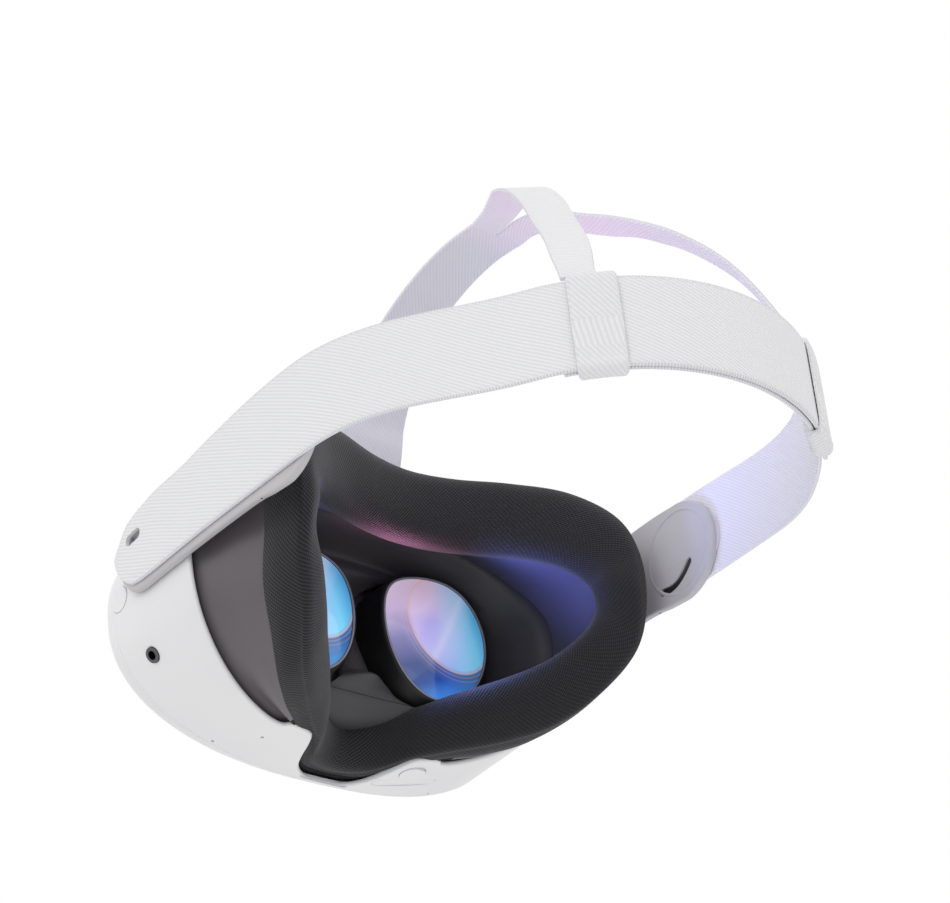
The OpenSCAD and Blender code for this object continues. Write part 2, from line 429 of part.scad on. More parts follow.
// ---------------------------------------------------------------- buttons
module power_button() color(white) { difference() { cyl_x(33.6, 3.8, 4.95, -87.3, -84.2); box([-90, 37.6, -10], [-80, 40, 20]); } cyl_x(33.6, 3.8, 1.5, -84.3, -81); }
module volume_rocker() color(white) translate(rock_p) rotate([0, 0, rock_a]) {
  translate([0, 0, -2.4]) { box([-10.8, -2.1, 0], [10.8, 2.1, 1.8]); translate([-10.8, 0, 0]) cylinder(r = 2.1, h = 1.8); translate([10.8, 0, 0]) cylinder(r = 2.1, h = 1.8); }
  // rocking pin
  difference() { cyl_y(0, 0, 0.9, -1.9, 1.9); box([-2, -2, -2], [2, 2, -0.6]); }
}

outer_shell();
front_cover();
camera_window_left();
camera_window_right();
depth_window();
colour_camera_left();
colour_camera_right();
tracking_camera_left();
tracking_camera_right();
depth_projector();
chassis();
eye_panel();
main_board();
heat_spreader();
fan_housing();
fan_rotor();
battery_pack();
spacing_rods();
audio_jack();
microphones();
proximity_sensor();
pivot_pins();
top_strap_anchor();
chassis_screws();
board_screws();
power_button();
volume_rocker();
spacing_dial();
left_barrel();
left_lens();
left_display();
left_rack();
right_barrel();
right_lens();
right_display();
right_rack();
interface_frame();
interface_liner();
foam_cushion();
depth_latch_left();
depth_latch_right();
side_arm_left();
side_arm_right();
speaker_left();
speaker_right();
speaker_mesh_left();
speaker_mesh_right();
usb_port();
side_strap_left();
side_strap_right();
strap_tongue_left();
strap_tongue_right();
top_strap();
branch_left();
branch_right();
slider_left();
slider_right();
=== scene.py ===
import bpy, bmesh, math
import numpy as np
from mathutils import Vector, Matrix


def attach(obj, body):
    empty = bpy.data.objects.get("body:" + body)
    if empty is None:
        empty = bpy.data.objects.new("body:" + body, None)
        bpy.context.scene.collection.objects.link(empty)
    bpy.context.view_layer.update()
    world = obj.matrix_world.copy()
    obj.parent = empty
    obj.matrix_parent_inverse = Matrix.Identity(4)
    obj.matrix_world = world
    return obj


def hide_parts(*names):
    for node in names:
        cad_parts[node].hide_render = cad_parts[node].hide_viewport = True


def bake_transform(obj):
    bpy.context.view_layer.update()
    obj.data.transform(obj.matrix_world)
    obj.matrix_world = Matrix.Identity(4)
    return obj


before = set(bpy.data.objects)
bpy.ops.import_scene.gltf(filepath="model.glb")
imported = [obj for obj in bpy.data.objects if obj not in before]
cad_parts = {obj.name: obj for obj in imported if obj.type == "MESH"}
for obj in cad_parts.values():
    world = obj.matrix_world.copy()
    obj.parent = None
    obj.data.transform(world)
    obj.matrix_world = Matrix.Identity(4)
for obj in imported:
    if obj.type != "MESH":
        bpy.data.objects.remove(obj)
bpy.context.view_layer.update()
MM = 0.001
N_ = 2.35
A_, B_ = 87.0, 49.8
EDGE_Y, EDGE_DROP = 16.9, 28.4
COVER_Y = 38.0
IPD = 62.8
BAND_R, STRAP_T, STRAP_W, BAND_Y, SL_DEG, ARC = 75.2, 1.6, 35.6, -138.0, 39.0, 56.0

# ------------------------------------------------------------------ small maths
def cr(P, n, closed=True):
    """Catmull-Rom through the rows of P, n samples for each span."""
    P = np.asarray(P, float)
    m = len(P)
    out = []
    spans = m if closed else m - 1
    for i in range(spans):
        if closed:
            a, b, c, d = P[(i - 1) % m], P[i], P[(i + 1) % m], P[(i + 2) % m]
        else:
            a, b, c, d = P[max(i - 1, 0)], P[i], P[i + 1], P[min(i + 2, m - 1)]
        for k in range(n):
            t = k / n
            out.append(0.5 * ((2 * b) + (c - a) * t + (2 * a - 5 * b + 4 * c - d) * t * t + (3 * b - a - 3 * c + d) * t ** 3))
    if not closed:
        out.append(P[-1])
    return np.array(out)

def sp(v, e):
    return np.sign(v) * np.abs(v) ** e

def outline(a, b, k=360, n=N_):
    t = 2 * np.pi * (np.arange(k) + 0.5) / k
    return np.stack([a * sp(np.cos(t), 2 / n), b * sp(np.sin(t), 2 / n)], 1)

def sstep(x, a, b):
    t = np.clip((np.asarray(x, float) - a) / (b - a), 0, 1)
    return t * t * (3 - 2 * t)

def unit(v):
    v = np.asarray(v, float)
    return v / max(np.linalg.norm(v), 1e-12)

def edge(x):
    return EDGE_Y - EDGE_DROP * (np.abs(x) / 87.35) ** 2

# ------------------------------------------------------------------ meshes
def make(name, verts, faces, smooth=True, angle=35, uv=None, mats=None, midx=None):
    me = bpy.data.meshes.new(name)
    me.from_pydata([tuple(v) for v in np.asarray(verts, float) * MM], [], [tuple(int(i) for i in f) for f in faces])
    me.validate()
    if smooth:
        me.polygons.foreach_set("use_smooth", [True] * len(me.polygons))
    if uv is not None:
        lay = me.uv_layers.new(name="UVMap")
        co = np.array([uv[l.vertex_index] for l in me.loops], np.float32)
        lay.data.foreach_set("uv", co.ravel())
    ob = bpy.data.objects.new(name, me)
    bpy.context.scene.collection.objects.link(ob)
    for m in (mats or []):
        me.materials.append(m)
    if midx is not None:
        me.polygons.foreach_set("material_index", [int(i) for i in midx])
    if smooth and angle:
        me.set_sharp_from_angle(angle=math.radians(angle))
    me.update()
    return ob

def fix_normals(ob):
    bm = bmesh.new(); bm.from_mesh(ob.data)
    bmesh.ops.recalc_face_normals(bm, faces=bm.faces)
    bm.to_mesh(ob.data); bm.free(); ob.data.update()

def loft(name, R, closed_u=True, closed_v=False, cap=False, mats=None, fmat=None, uvs=None, angle=35, fix=True):
    """R: rings x points x 3. closed_u: points of a ring close on themselves; closed_v: last ring joins the first.
    uvs: rings x points x 2, in metres. fmat(i, j) gives a face's material."""
    R = np.asarray(R, float)
    m, n = R.shape[:2]
    vid = np.arange(m * n).reshape(m, n)
    faces, luv, mi = [], [], []
    U = None if uvs is None else np.asarray(uvs, float)
    for i in range(m if closed_v else m - 1):
        i2 = (i + 1) % m
        for j in range(n if closed_u else n - 1):
            j2 = (j + 1) % n
            faces.append((vid[i, j], vid[i, j2], vid[i2, j2], vid[i2, j]))
            mi.append(fmat(i, j) if fmat else 0)
            if U is not None:
                a, b, c, d = U[i, j].copy(), U[i, j2].copy(), U[i2, j2].copy(), U[i2, j].copy()
                if j2 == 0 and closed_u:
                    b[1] = c[1] = 2 * U[i, j][1] - U[i, j - 1][1]
                if i2 == 0 and closed_v:
                    c[0] = d[0] = 2 * U[i, j][0] - U[i - 1, j][0]
                luv.append((a, b, c, d))
    if cap:
        faces.append(tuple(vid[0, ::-1])); faces.append(tuple(vid[-1, :])); mi += [mi[0], mi[-1]]
    me = bpy.data.meshes.new(name)
    me.from_pydata([tuple(v) for v in R.reshape(-1, 3) * MM], [], [tuple(int(k) for k in f) for f in faces])
    me.polygons.foreach_set("use_smooth", [True] * len(me.polygons))
    if U is not None:
        lay = me.uv_layers.new(name="UVMap")
        flat = []
        for f, q in zip(faces, luv):
            for p in q:
                flat += [p[0], p[1]]
        for f in faces[len(luv):]:
            for _ in f:
                flat += [0.0, 0.0]
        lay.data.foreach_set("uv", flat)
    for mm in (mats or []):
        me.materials.append(mm)
    me.polygons.foreach_set("material_index", mi)
    ob = bpy.data.objects.new(name, me)
    bpy.context.scene.collection.objects.link(ob)
    if fix:
        fix_normals(ob)
    if angle:
        me.set_sharp_from_angle(angle=math.radians(angle))
    return ob

def cut(ob, *cutters, keep_sharp=35):
    for c in cutters:
        md = ob.modifiers.new("cut", "BOOLEAN")
        md.operation = "DIFFERENCE"; md.solver = "EXACT"; md.object = c
        bpy.context.view_layer.update()
        dg = bpy.context.evaluated_depsgraph_get()
        me = bpy.data.meshes.new_from_object(ob.evaluated_get(dg))
        ob.modifiers.clear()
        old = ob.data; ob.data = me; bpy.data.meshes.remove(old)
    for c in cutters:
        bpy.data.objects.remove(c)
    ob.data.polygons.foreach_set("use_smooth", [True] * len(ob.data.polygons))
    if keep_sharp:
        ob.data.set_sharp_from_angle(angle=math.radians(keep_sharp))
    return ob

def prism_ob(poly, origin, ex, ey, ez, h0, h1, name="cutter"):
    """A prism of the 2-D polygon, along ez from h0 to h1."""
    ex, ey, ez, o = map(lambda v: np.asarray(v, float), (ex, ey, ez, origin))
    lo = [o + ex * p[0] + ey * p[1] + ez * h0 for p in poly]
    hi = [o + ex * p[0] + ey * p[1] + ez * h1 for p in poly]
    n = len(poly)
    faces = [(i, (i + 1) % n, n + (i + 1) % n, n + i) for i in range(n)] + [tuple(range(n - 1, -1, -1)), tuple(range(n, 2 * n))]
    ob = make(name, np.array(lo + hi), faces, smooth=False)
    fix_normals(ob)
    return ob

def circle(r, n=48):
    return [(r * math.cos(2 * math.pi * i / n), r * math.sin(2 * math.pi * i / n)) for i in range(n)]

def pill2(w, h, n=16):
    """Outline of a slot w wide and h high (w < h), long way along the second axis."""
    r = w / 2
    pts = [(r * math.cos(math.pi * i / n), (h / 2 - r) + r * math.sin(math.pi * i / n)) for i in range(n + 1)]
    pts += [(-r * math.cos(math.pi * i / n), -(h / 2 - r) - r * math.sin(math.pi * i / n)) for i in range(n + 1)]
    return pts

def slab(name, poly, x0, x1, mats, r=0.8, axis="x", edge_pts=4):
    """A plate of a 2-D outline with rounded edges, between x0 and x1 along the axis."""
    P = np.asarray(poly, float)
    n = len(P)
    T = np.roll(P, -1, 0) - np.roll(P, 1, 0)
    T /= np.linalg.norm(T, axis=1)[:, None]
    Nn = np.stack([T[:, 1], -T[:, 0]], 1)
    area = 0.5 * np.sum(P[:, 0] * np.roll(P[:, 1], -1) - np.roll(P[:, 0], -1) * P[:, 1])
    if area < 0:
        Nn = -Nn
    prof = [(x0 + r * (1 - math.cos(a)) , r * (1 - math.sin(a))) for a in np.linspace(0, math.pi / 2, edge_pts)]
    prof += [(x1 - r * (1 - math.cos(a)), r * (1 - math.sin(a))) for a in np.linspace(math.pi / 2, 0, edge_pts)]
    R = []
    for x, d in prof:
        Q = P - Nn * d
        R.append([(x, q[0], q[1]) if axis == "x" else (q[0], x, q[1]) for q in Q])
    return loft(name, R, closed_u=True, cap=True, mats=mats)

# ------------------------------------------------------------------ materials
class Mat:
    def __init__(self, name, base, rough=0.5, **kw):
        self.m = bpy.data.materials.new(name); self.m.use_nodes = True
        self.nt = self.m.node_tree; self.b = self.nt.nodes["Principled BSDF"]
        self.b.inputs["Base Color"].default_value = (*base, 1)
        self.b.inputs["Roughness"].default_value = rough
        for k, v in kw.items():
            self.b.inputs[k.replace("_", " ")].default_value = v
        self.h = None
    def node(self, t, **kw):
        n = self.nt.nodes.new(t)
        for k, v in kw.items():
            setattr(n, k, v)
        return n
    def link(self, a, b):
        self.nt.links.new(a, b)
    def coords(self, kind="Object", rot=(0, 0, 0), scale=(1, 1, 1)):
        tc = self.node("ShaderNodeTexCoord"); mp = self.node("ShaderNodeMapping")
        mp.inputs["Rotation"].default_value = rot; mp.inputs["Scale"].default_value = scale
        self.link(tc.outputs[kind], mp.inputs["Vector"])
        return mp.outputs["Vector"]
    def noise(self, scale, detail=2.0, vec=None, rough=0.5):
        n = self.node("ShaderNodeTexNoise")
        n.inputs["Scale"].default_value = scale; n.inputs["Detail"].default_value = detail; n.inputs["Roughness"].default_value = rough
        self.link(vec or self.coords(), n.inputs["Vector"])
        return n.outputs["Fac"]
    def wave(self, scale, vec, dist=0.0, profile="SIN", direction="X"):
        n = self.node("ShaderNodeTexWave"); n.wave_type = "BANDS"; n.bands_direction = direction; n.wave_profile = profile
        n.inputs["Scale"].default_value = scale; n.inputs["Distortion"].default_value = dist
        n.inputs["Detail"].default_value = 1.0; n.inputs["Detail Scale"].default_value = 2.0
        self.link(vec, n.inputs["Vector"])
        return n.outputs["Fac"]
    def ramp(self, fac, stops):
        r = self.node("ShaderNodeValToRGB")
        e = r.color_ramp.elements
        while len(e) < len(stops):
            e.new(0.5)
        for k, (p, c) in enumerate(stops):
            e[k].position = p; e[k].color = (*c, 1)
        self.link(fac, r.inputs["Fac"])
        return r.outputs["Color"]
    def base(self, col):
        self.link(col, self.b.inputs["Base Color"])
    def rough_from(self, fac, lo, hi):
        r = self.node("ShaderNodeMapRange"); r.inputs["To Min"].default_value = lo; r.inputs["To Max"].default_value = hi
        self.link(fac, r.inputs["Value"]); self.link(r.outputs["Result"], self.b.inputs["Roughness"])
    def bump(self, fac, strength, dist):
        n = self.node("ShaderNodeBump"); n.inputs["Strength"].default_value = strength; n.inputs["Distance"].default_value = dist
        self.link(fac, n.inputs["Height"])
        if self.h is not None:
            self.link(self.h, n.inputs["Normal"])
        self.link(n.outputs["Normal"], self.b.inputs["Normal"]); self.h = n.outputs["Normal"]
    def math(self, op, a, b):
        n = self.node("ShaderNodeMath"); n.operation = op
        for i, v in enumerate((a, b)):
            if isinstance(v, (int, float)):
                n.inputs[i].default_value = v
            else:
                self.link(v, n.inputs[i])
        return n.outputs[0]
    def mix(self, fac, a, b):
        n = self.node("ShaderNodeMix"); n.data_type = "RGBA"
        self.link(fac, n.inputs[0]); self.link(a, n.inputs[6]); self.link(b, n.inputs[7])
        return n.outputs[2]

def plastic(name, lo, hi, rough=0.4, grain=2600, bump=0.03, spec=0.5, cloud=18, coat=0.0):
    M = Mat(name, lo, rough, Specular_IOR_Level=spec, Coat_Weight=coat)
    M.base(M.ramp(M.noise(cloud, 3), [(0.3, lo), (0.7, hi)]))
    M.rough_from(M.noise(cloud * 3, 2), rough - 0.04, rough + 0.05)
    M.bump(M.noise(grain, 2), bump, 0.0002)
    return M.m

def metal(name, lo, hi, rough=0.3, brushed=(1, 1, 40)):
    M = Mat(name, lo, rough, Metallic=1.0)
    v = M.coords(scale=brushed)
    f = M.noise(400, 3, v)
    M.base(M.ramp(f, [(0.3, lo), (0.7, hi)])); M.rough_from(f, rough - 0.06, rough + 0.1); M.bump(f, 0.05, 0.0001)
    return M.m

WHITE = plastic("shell_white_plastic", (0.80, 0.80, 0.815), (0.835, 0.835, 0.845), 0.36, 3200, 0.035, 0.45)
# white plastic painted darker grey: painted shade on the clip and the left arm, which face down and inward
CLIP_PAINTED_SHADE = plastic("clip_white_plastic_painted_shade", (0.52, 0.51, 0.52), (0.57, 0.56, 0.57), 0.4, 2600, 0.03, 0.4)
LILAC = plastic("lilac_soft_plastic", (0.50, 0.485, 0.53), (0.55, 0.535, 0.58), 0.36, 1800, 0.05, 0.3)
TONGUE = plastic("tongue_lilac_plastic", (0.66, 0.64, 0.76), (0.70, 0.68, 0.80), 0.45, 1800, 0.04, 0.3)
WALL = plastic("interface_grey_satin", (0.105, 0.094, 0.103), (0.130, 0.117, 0.127), 0.33, 2400, 0.05, 0.5, cloud=10)
MASK = plastic("mask_dark_satin", (0.050, 0.047, 0.051), (0.064, 0.061, 0.065), 0.42, 2400, 0.05, 0.4)
VIOLET = plastic("inner_wall_violet", (0.060, 0.056, 0.085), (0.078, 0.074, 0.112), 0.5, 2400, 0.04, 0.4)
BLACK = plastic("black_matte_plastic", (0.010, 0.010, 0.011), (0.016, 0.016, 0.017), 0.5, 2000, 0.04, 0.35)
# black rubber; also used for the ring in the parting gap, where it is painted shade
GAP = plastic("black_rubber_and_gap_shade", (0.008, 0.008, 0.009), (0.013, 0.013, 0.014), 0.7, 1500, 0.06, 0.2)
GLOSS = plastic("window_black_gloss", (0.006, 0.006, 0.008), (0.010, 0.010, 0.013), 0.07, 900, 0.005, 0.6, coat=0.3)
STEEL = metal("steel_brushed", (0.52, 0.52, 0.54), (0.68, 0.68, 0.70), 0.28)
RIM = plastic("lens_rim_grey", (0.22, 0.22, 0.25), (0.30, 0.30, 0.34), 0.22)
DARKSTEEL = metal("steel_dark", (0.10, 0.10, 0.11), (0.2, 0.2, 0.21), 0.35)
ALU = metal("chassis_cast_metal", (0.44, 0.44, 0.46), (0.58, 0.58, 0.60), 0.42, (1, 1, 1))
COPPER = metal("copper_spreader", (0.60, 0.30, 0.18), (0.75, 0.42, 0.28), 0.3, (1, 30, 1))
PCB = plastic("board_solder_mask", (0.010, 0.055, 0.028), (0.02, 0.09, 0.045), 0.3, 500, 0.05, 0.5, cloud=300)
DISPLAY = plastic("display_gloss", (0.010, 0.012, 0.022), (0.02, 0.022, 0.04), 0.08, 700, 0.01, 0.6, cloud=60)

def weave(name, lo, hi, ang, pitch=1.3, cross=1.3, strength=0.30, depth=0.0003, sheen=0.1, rough=0.8, twill=True, colour_line=0.05):
    """Ribbed webbing: ribs at ang degrees to the strap, cut by fine cross yarns. Works in the UV map, which is in metres."""
    M = Mat(name, lo, rough, Sheen_Weight=sheen, Sheen_Roughness=0.45, Specular_IOR_Level=0.2)
    v = M.coords("UV", rot=(0, 0, math.radians(ang)), scale=(1000, 1000, 1000))
    k = 1.0 / pitch * (2 * math.pi) / 20.0
    ribs = M.wave(k, v, 0.25, "SIN", "Y")
    yarn = M.wave(k * 2.1, v, 0.15, "SIN", "X")
    fuzz = M.noise(2.2, 3, v)
    h = M.math("ADD", M.math("MULTIPLY", ribs, 0.62), M.math("MULTIPLY", M.math("MULTIPLY", yarn, ribs), 0.35 * cross))
    h2 = M.math("ADD", h, M.math("MULTIPLY", fuzz, 0.18))
    M.base(M.ramp(h2, [(0.12, tuple(c * (1 - colour_line) for c in lo)), (0.45, lo), (0.9, hi)]))
    M.bump(h2, strength, depth)
    return M.m

STRAP_L = weave("strap_white_weave", (0.80, 0.80, 0.815), (0.87, 0.87, 0.88), 28)
STRAP_R = weave("strap_white_weave_back", (0.80, 0.80, 0.815), (0.87, 0.87, 0.88), 28)
WEAVE_TOP = weave("strap_white_weave_top", (0.81, 0.81, 0.825), (0.87, 0.87, 0.88), 62, 1.35)
STRAP_IN = weave("strap_lilac_lining", (0.83, 0.82, 0.91), (0.88, 0.87, 0.95), 35, 1.2, strength=0.22, colour_line=0.05)
SLEEVE = weave("slider_sleeve_weave", (0.80, 0.80, 0.815), (0.87, 0.87, 0.88), 55, 1.5, strength=0.6)
EDGEM = weave("strap_edge_binding", (0.72, 0.72, 0.745), (0.84, 0.84, 0.86), 90, 1.1, strength=0.3, colour_line=0.10)

def knit(name):
    M = Mat(name, (0.03, 0.029, 0.032), 0.82, Sheen_Weight=0.2, Sheen_Roughness=0.5, Specular_IOR_Level=0.2)
    v = M.coords("UV", rot=(0, 0, math.radians(40)), scale=(800, 800, 800))
    v2 = M.coords("UV", rot=(0, 0, math.radians(-52)), scale=(800, 800, 800))
    ribs = M.wave(0.42, v, 0.2, "SIN", "X")
    cross = M.wave(0.33, v2, 0.2, "SIN", "X")
    fuzz = M.noise(1.8, 3, v)
    h = M.math("ADD", M.math("MULTIPLY", ribs, 0.52), M.math("MULTIPLY", cross, 0.24))
    h = M.math("ADD", h, M.math("MULTIPLY", fuzz, 0.2))
    M.base(M.ramp(h, [(0.12, (0.008, 0.0075, 0.009)), (0.5, (0.018, 0.017, 0.020)), (0.92, (0.046, 0.044, 0.050))]))
    M.bump(h, 0.55, 0.0004)
    return M.m
KNIT = knit("cushion_charcoal_knit")

def lens_painted_reflection_mat(name, cx):
    """Lens glass with painted reflections: painted reflection colours, a painted highlight streak, a painted dark
    crescent and painted warm rim arcs run across the glass with place on the lens, and the colour is also emitted, so
    the glass glows though it is no lamp.
    """
    M = Mat(name, (0.5, 0.5, 0.8), 0.06, Coat_Weight=0.45, Coat_Roughness=0.06, Specular_IOR_Level=0.4, IOR=1.6)
    tc = M.node("ShaderNodeTexCoord"); sep = M.node("ShaderNodeSeparateXYZ")
    M.link(tc.outputs["Object"], sep.inputs[0])
    x = M.math("MULTIPLY", M.math("SUBTRACT", sep.outputs["X"], cx * MM), 20.0)
    z = M.math("MULTIPLY", sep.outputs["Z"], 19.0)
    soft = M.math("MULTIPLY", M.math("SUBTRACT", M.noise(55, 1.0), 0.5), 0.35)
    u = M.math("ADD", M.math("ADD", M.math("ADD", M.math("MULTIPLY", x, 0.42), M.math("MULTIPLY", z, -0.62)), 0.5), soft)
    w = M.math("ADD", M.math("ADD", M.math("MULTIPLY", x, 0.9), M.math("MULTIPLY", z, 0.35)), 0.5)
    # painted reflection: a bright field inside a ring, and a painted dark crescent outside it on the lower left
    painted_reflection_field = M.ramp(u, [(0.10, (0.80, 0.56, 0.72)), (0.32, (0.74, 0.60, 0.86)), (0.50, (0.52, 0.46, 0.86)), (0.66, (0.34, 0.44, 0.88)), (0.84, (0.16, 0.34, 0.84))])
    # painted sky reflection, blended in towards one side of the lens
    painted_sky_reflection = M.ramp(w, [(0.30, (0.60, 0.60, 0.94)), (0.55, (0.36, 0.76, 1.0)), (0.80, (0.20, 0.66, 0.95)), (1.0, (0.05, 0.32, 0.66))])
    fac = M.ramp(M.math("ADD", M.math("MULTIPLY", x, 0.9), 0.5), [(0.45, (0, 0, 0)), (0.80, (1, 1, 1))])
    sepc = M.node("ShaderNodeSeparateColor"); M.link(fac, sepc.inputs[0])
    painted_reflection_field = M.mix(sepc.outputs[0], painted_reflection_field, painted_sky_reflection)
    zz = M.math("ADD", M.math("ADD", z, M.math("MULTIPLY", x, -0.35)), 0.5)
    painted_dark_crescent = M.ramp(zz, [(0.02, (0.06, 0.24, 0.56)), (0.16, (0.02, 0.07, 0.28)), (0.32, (0.03, 0.06, 0.22)), (0.55, (0.20, 0.19, 0.42)), (0.78, (0.62, 0.50, 0.72)), (1.0, (0.78, 0.62, 0.80))])
    r2 = M.math("SQRT", M.math("ADD", M.math("POWER", M.math("SUBTRACT", x, 0.11), 2), M.math("POWER", M.math("SUBTRACT", z, 0.1235), 2)), 0)
    edge_ = M.ramp(r2, [(0.365, (0, 0, 0)), (0.400, (0.85, 0.85, 0.85)), (0.50, (1, 1, 1))])
    ee = M.node("ShaderNodeSeparateColor"); M.link(edge_, ee.inputs[0])
    col = M.mix(ee.outputs[0], painted_reflection_field, painted_dark_crescent)
    # painted highlight: a white streak across the glass
    s1 = M.math("ABSOLUTE", M.math("SUBTRACT", M.math("ADD", M.math("MULTIPLY", x, 0.75), M.math("MULTIPLY", z, -0.45)), 0.02), 0)
    painted_highlight_streak = M.ramp(s1, [(0.0, (1, 1, 1)), (0.05, (0.35, 0.35, 0.35)), (0.14, (0, 0, 0))])
    sc = M.node("ShaderNodeSeparateColor"); M.link(painted_highlight_streak, sc.inputs[0])
    inside = M.math("SUBTRACT", 1.0, ee.outputs[0])
    painted_highlight_white = M.ramp(M.noise(40, 1), [(0.0, (0.86, 0.86, 1.0)), (1.0, (0.92, 0.88, 1.0))])
    col = M.mix(M.math("MULTIPLY", M.math("MULTIPLY", sc.outputs[0], inside), 0.35), col, painted_highlight_white)
    # painted reflection: warm arcs near the rim
    painted_warm_reflection = M.ramp(M.noise(40, 1), [(0.0, (0.85, 0.42, 0.24)), (1.0, (0.92, 0.56, 0.36))])
    for rad, wd, amt in ((0.385, 0.010, 0.6), (0.415, 0.006, 0.22), (0.445, 0.005, 0.18)):
        arc = M.ramp(M.math("ABSOLUTE", M.math("SUBTRACT", r2, rad), 0), [(0.0, (1, 1, 1)), (wd * 0.5, (0.6, 0.6, 0.6)), (wd, (0, 0, 0))])
        ac = M.node("ShaderNodeSeparateColor"); M.link(arc, ac.inputs[0])
        col = M.mix(M.math("MULTIPLY", ac.outputs[0], amt), col, painted_warm_reflection)
    M.base(col)
    # glow: the painted colour is also emitted, so the glass glows though it is no lamp
    M.link(col, M.b.inputs["Emission Color"]); M.b.inputs["Emission Strength"].default_value = 0.42
    M.bump(M.noise(30, 1), 0.02, 0.0005)
    return M.m

# ------------------------------------------------------------------ visor shell
NOSE_X = np.array([0, 8, 14.5, 18.2, 21.2, 24.5, 33, 42, 90]); NOSE_DY = np.array([20.5, 20.0, 15.4, 8.2, -0.6, -5.4, -4.8, 0.0, 0.0])
NOSE_F = cr(np.stack([NOSE_X, NOSE_DY], 1), 12, closed=False)
def rear_edge(x, z):
    e = edge(x)
    if z < 0:
        e = e + np.interp(abs(x), NOSE_F[:, 0], NOSE_F[:, 1])
    return min(e, 37.0)

K = 540
def visor_shell():
    OUT = outline(A_, B_, K)
    prof = []
    def ring(dy_kind, val, ins):
        prof.append((dy_kind, val, ins))
    ring("f", 0.0, 2.2); ring("f", 0.0, 0.9); ring("f", 0.0, 0.10); ring("f", 0.10, 0.0); ring("f", 0.8, 0.0)
    for t in np.linspace(0.12, 0.9, 7): ring("m", t, 0.0)
    for a in np.linspace(0, math.pi, 9): ring("r", 1.1 * (1 - math.sin(a)), 1.1 - 1.1 * math.cos(a))
    for t in (0.7, 0.4, 0.1): ring("m", t, 2.2)
    # note: 'm' runs from the parting line (1) to the rim (0) in fractions measured from the front
    R = []
    for kind, val, ins in prof:
        Q = outline(A_ - ins, B_ - ins, K)
        row = []
        for i in range(K):
            x, z = Q[i]
            ye = rear_edge(OUT[i, 0], OUT[i, 1])
            if kind == "f": y = COVER_Y - val
            elif kind == "m":
                f = val if ins == 0 else 1 - (1 - val)
                y = (COVER_Y - 0.8) + (ye + 1.15 - (COVER_Y - 0.8)) * f
                y = max(y, ye + 1.12)
                if ye > 35.5: y = COVER_Y - 0.85 + (ye + 0.1 - COVER_Y + 0.85) * f if ye + 0.1 < COVER_Y - 0.85 else COVER_Y - 0.85
            else:
                y = min(ye + val, COVER_Y - 0.86)
            row.append((x, y, z))
        R.append(row)
    ob = loft("visor_shell", R, closed_u=True, closed_v=True, mats=[WHITE])
    return ob

shell = visor_shell()
ja = math.radians(34)
jo = np.array([-80.9, 23.4, -22.7]); jd = np.array([-math.cos(ja), 0, -math.sin(ja)]); ju = np.array([0, 1.0, 0]); jv = np.cross(jd, ju)
rock = np.array([30, 27, 0.0]); ra = math.radians(-12)
rx = np.array([math.cos(ra), math.sin(ra), 0]); ry = np.array([-math.sin(ra), math.cos(ra), 0])
cutters = [
    prism_ob(circle(3.15), jo, ju, jv, jd, -5, 6),
    prism_ob(circle(5.12, 64), (0, 33.6, 3.8), (0, 1, 0), (0, 0, 1), (-1, 0, 0), 78, 95),
    prism_ob(circle(5.1, 64), (28, 18.8, 0), (1, 0, 0), (0, 1, 0), (0, 0, -1), 40, 60),
    prism_ob(pill2(4.7, 26.5 - 0.4), rock, ry, rx, (0, 0, -1), 40, 60),
]
for (px, py) in [(-48.5, 36.3), (-37, 21.5), (48.5, 36.3)]:
    cutters.append(prism_ob(circle(0.6, 20), (px, py, 0), (1, 0, 0), (0, 1, 0), (0, 0, -1), 30, 60))
cut(shell, *cutters)
# intake slots in the top wall
cs = [prism_ob(pill2(2.4, 6.4), (i * 9, 21.2, 0), (0, 1, 0), (1, 0, 0), (0, 0, 1), 40, 60) for i in range(-4, 5)]
cut(shell, *cs)

# a dark lining just inside the shell, painted shade so that the holes and the parting gap read black, is not built: the
# loop below does nothing
lining_rows = []
for y, ins in [(37.9, 2.5), (30, 2.5), (22, 2.6)]:
    pass

# front cover: domed, with a bevelled parting edge, hollow, three windows
def front_cover():
    P = np.array([[0.06, 86.9, 49.7], [0.2, 87.0, 49.75], [1.0, 86.98, 49.5], [5, 86.2, 47], [9, 83.2, 44.6], [13, 78, 41], [16, 70, 36.5], [17.1, 58, 29], [17.42, 40, 20], [17.5, 20, 10], [17.5, 0.5, 0.25]])
    S = cr(P, 5, closed=False)
    S[:, 0] = np.clip(S[:, 0], 0.06, 17.5)
    outer = []
    for y, a, b in S:
        O = outline(max(a, 0.4), max(b, 0.2), 360)
        outer.append([(o[0], COVER_Y + y, o[1]) for o in O])
    inner = []
    for y, a, b in S[::-1]:
        O = outline(max(a - 2.2, 0.2), max(b - 2.2, 0.1), 360)
        inner.append([(o[0], COVER_Y + min(max(y - (2.2 if y > 4 else 0), 0.06), 15.3), o[1]) for o in O])
    R = outer + inner
    ob = loft("visor_front_cover", R, closed_u=True, closed_v=True, mats=[WHITE])
    cs = [prism_ob(pill2(w, h), (x, 46, 0), (1, 0, 0), (0, 0, 1), (0, 1, 0), 0, 14) for x, w, h in ((-44, 21, 52), (44, 21, 52), (0, 17, 46))]
    cut(ob, *cs)
    return ob
cover = front_cover()
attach(shell, "visor"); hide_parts("outer_shell")
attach(cover, "visor"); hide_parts("front_cover")

# dark ring in the parting gap: painted shade, so the gap reads black
G = []
for y, ins in [(37.4, 3.0), (37.4, 2.25), (38.7, 2.25), (38.7, 3.0)]:
    O = outline(A_ - ins, B_ - ins, 360); G.append([(o[0], y, o[1]) for o in O])
gap_shade_ring = loft("parting_gap_shade_ring", G, closed_u=True, closed_v=True, mats=[GAP])
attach(gap_shade_ring, "visor")

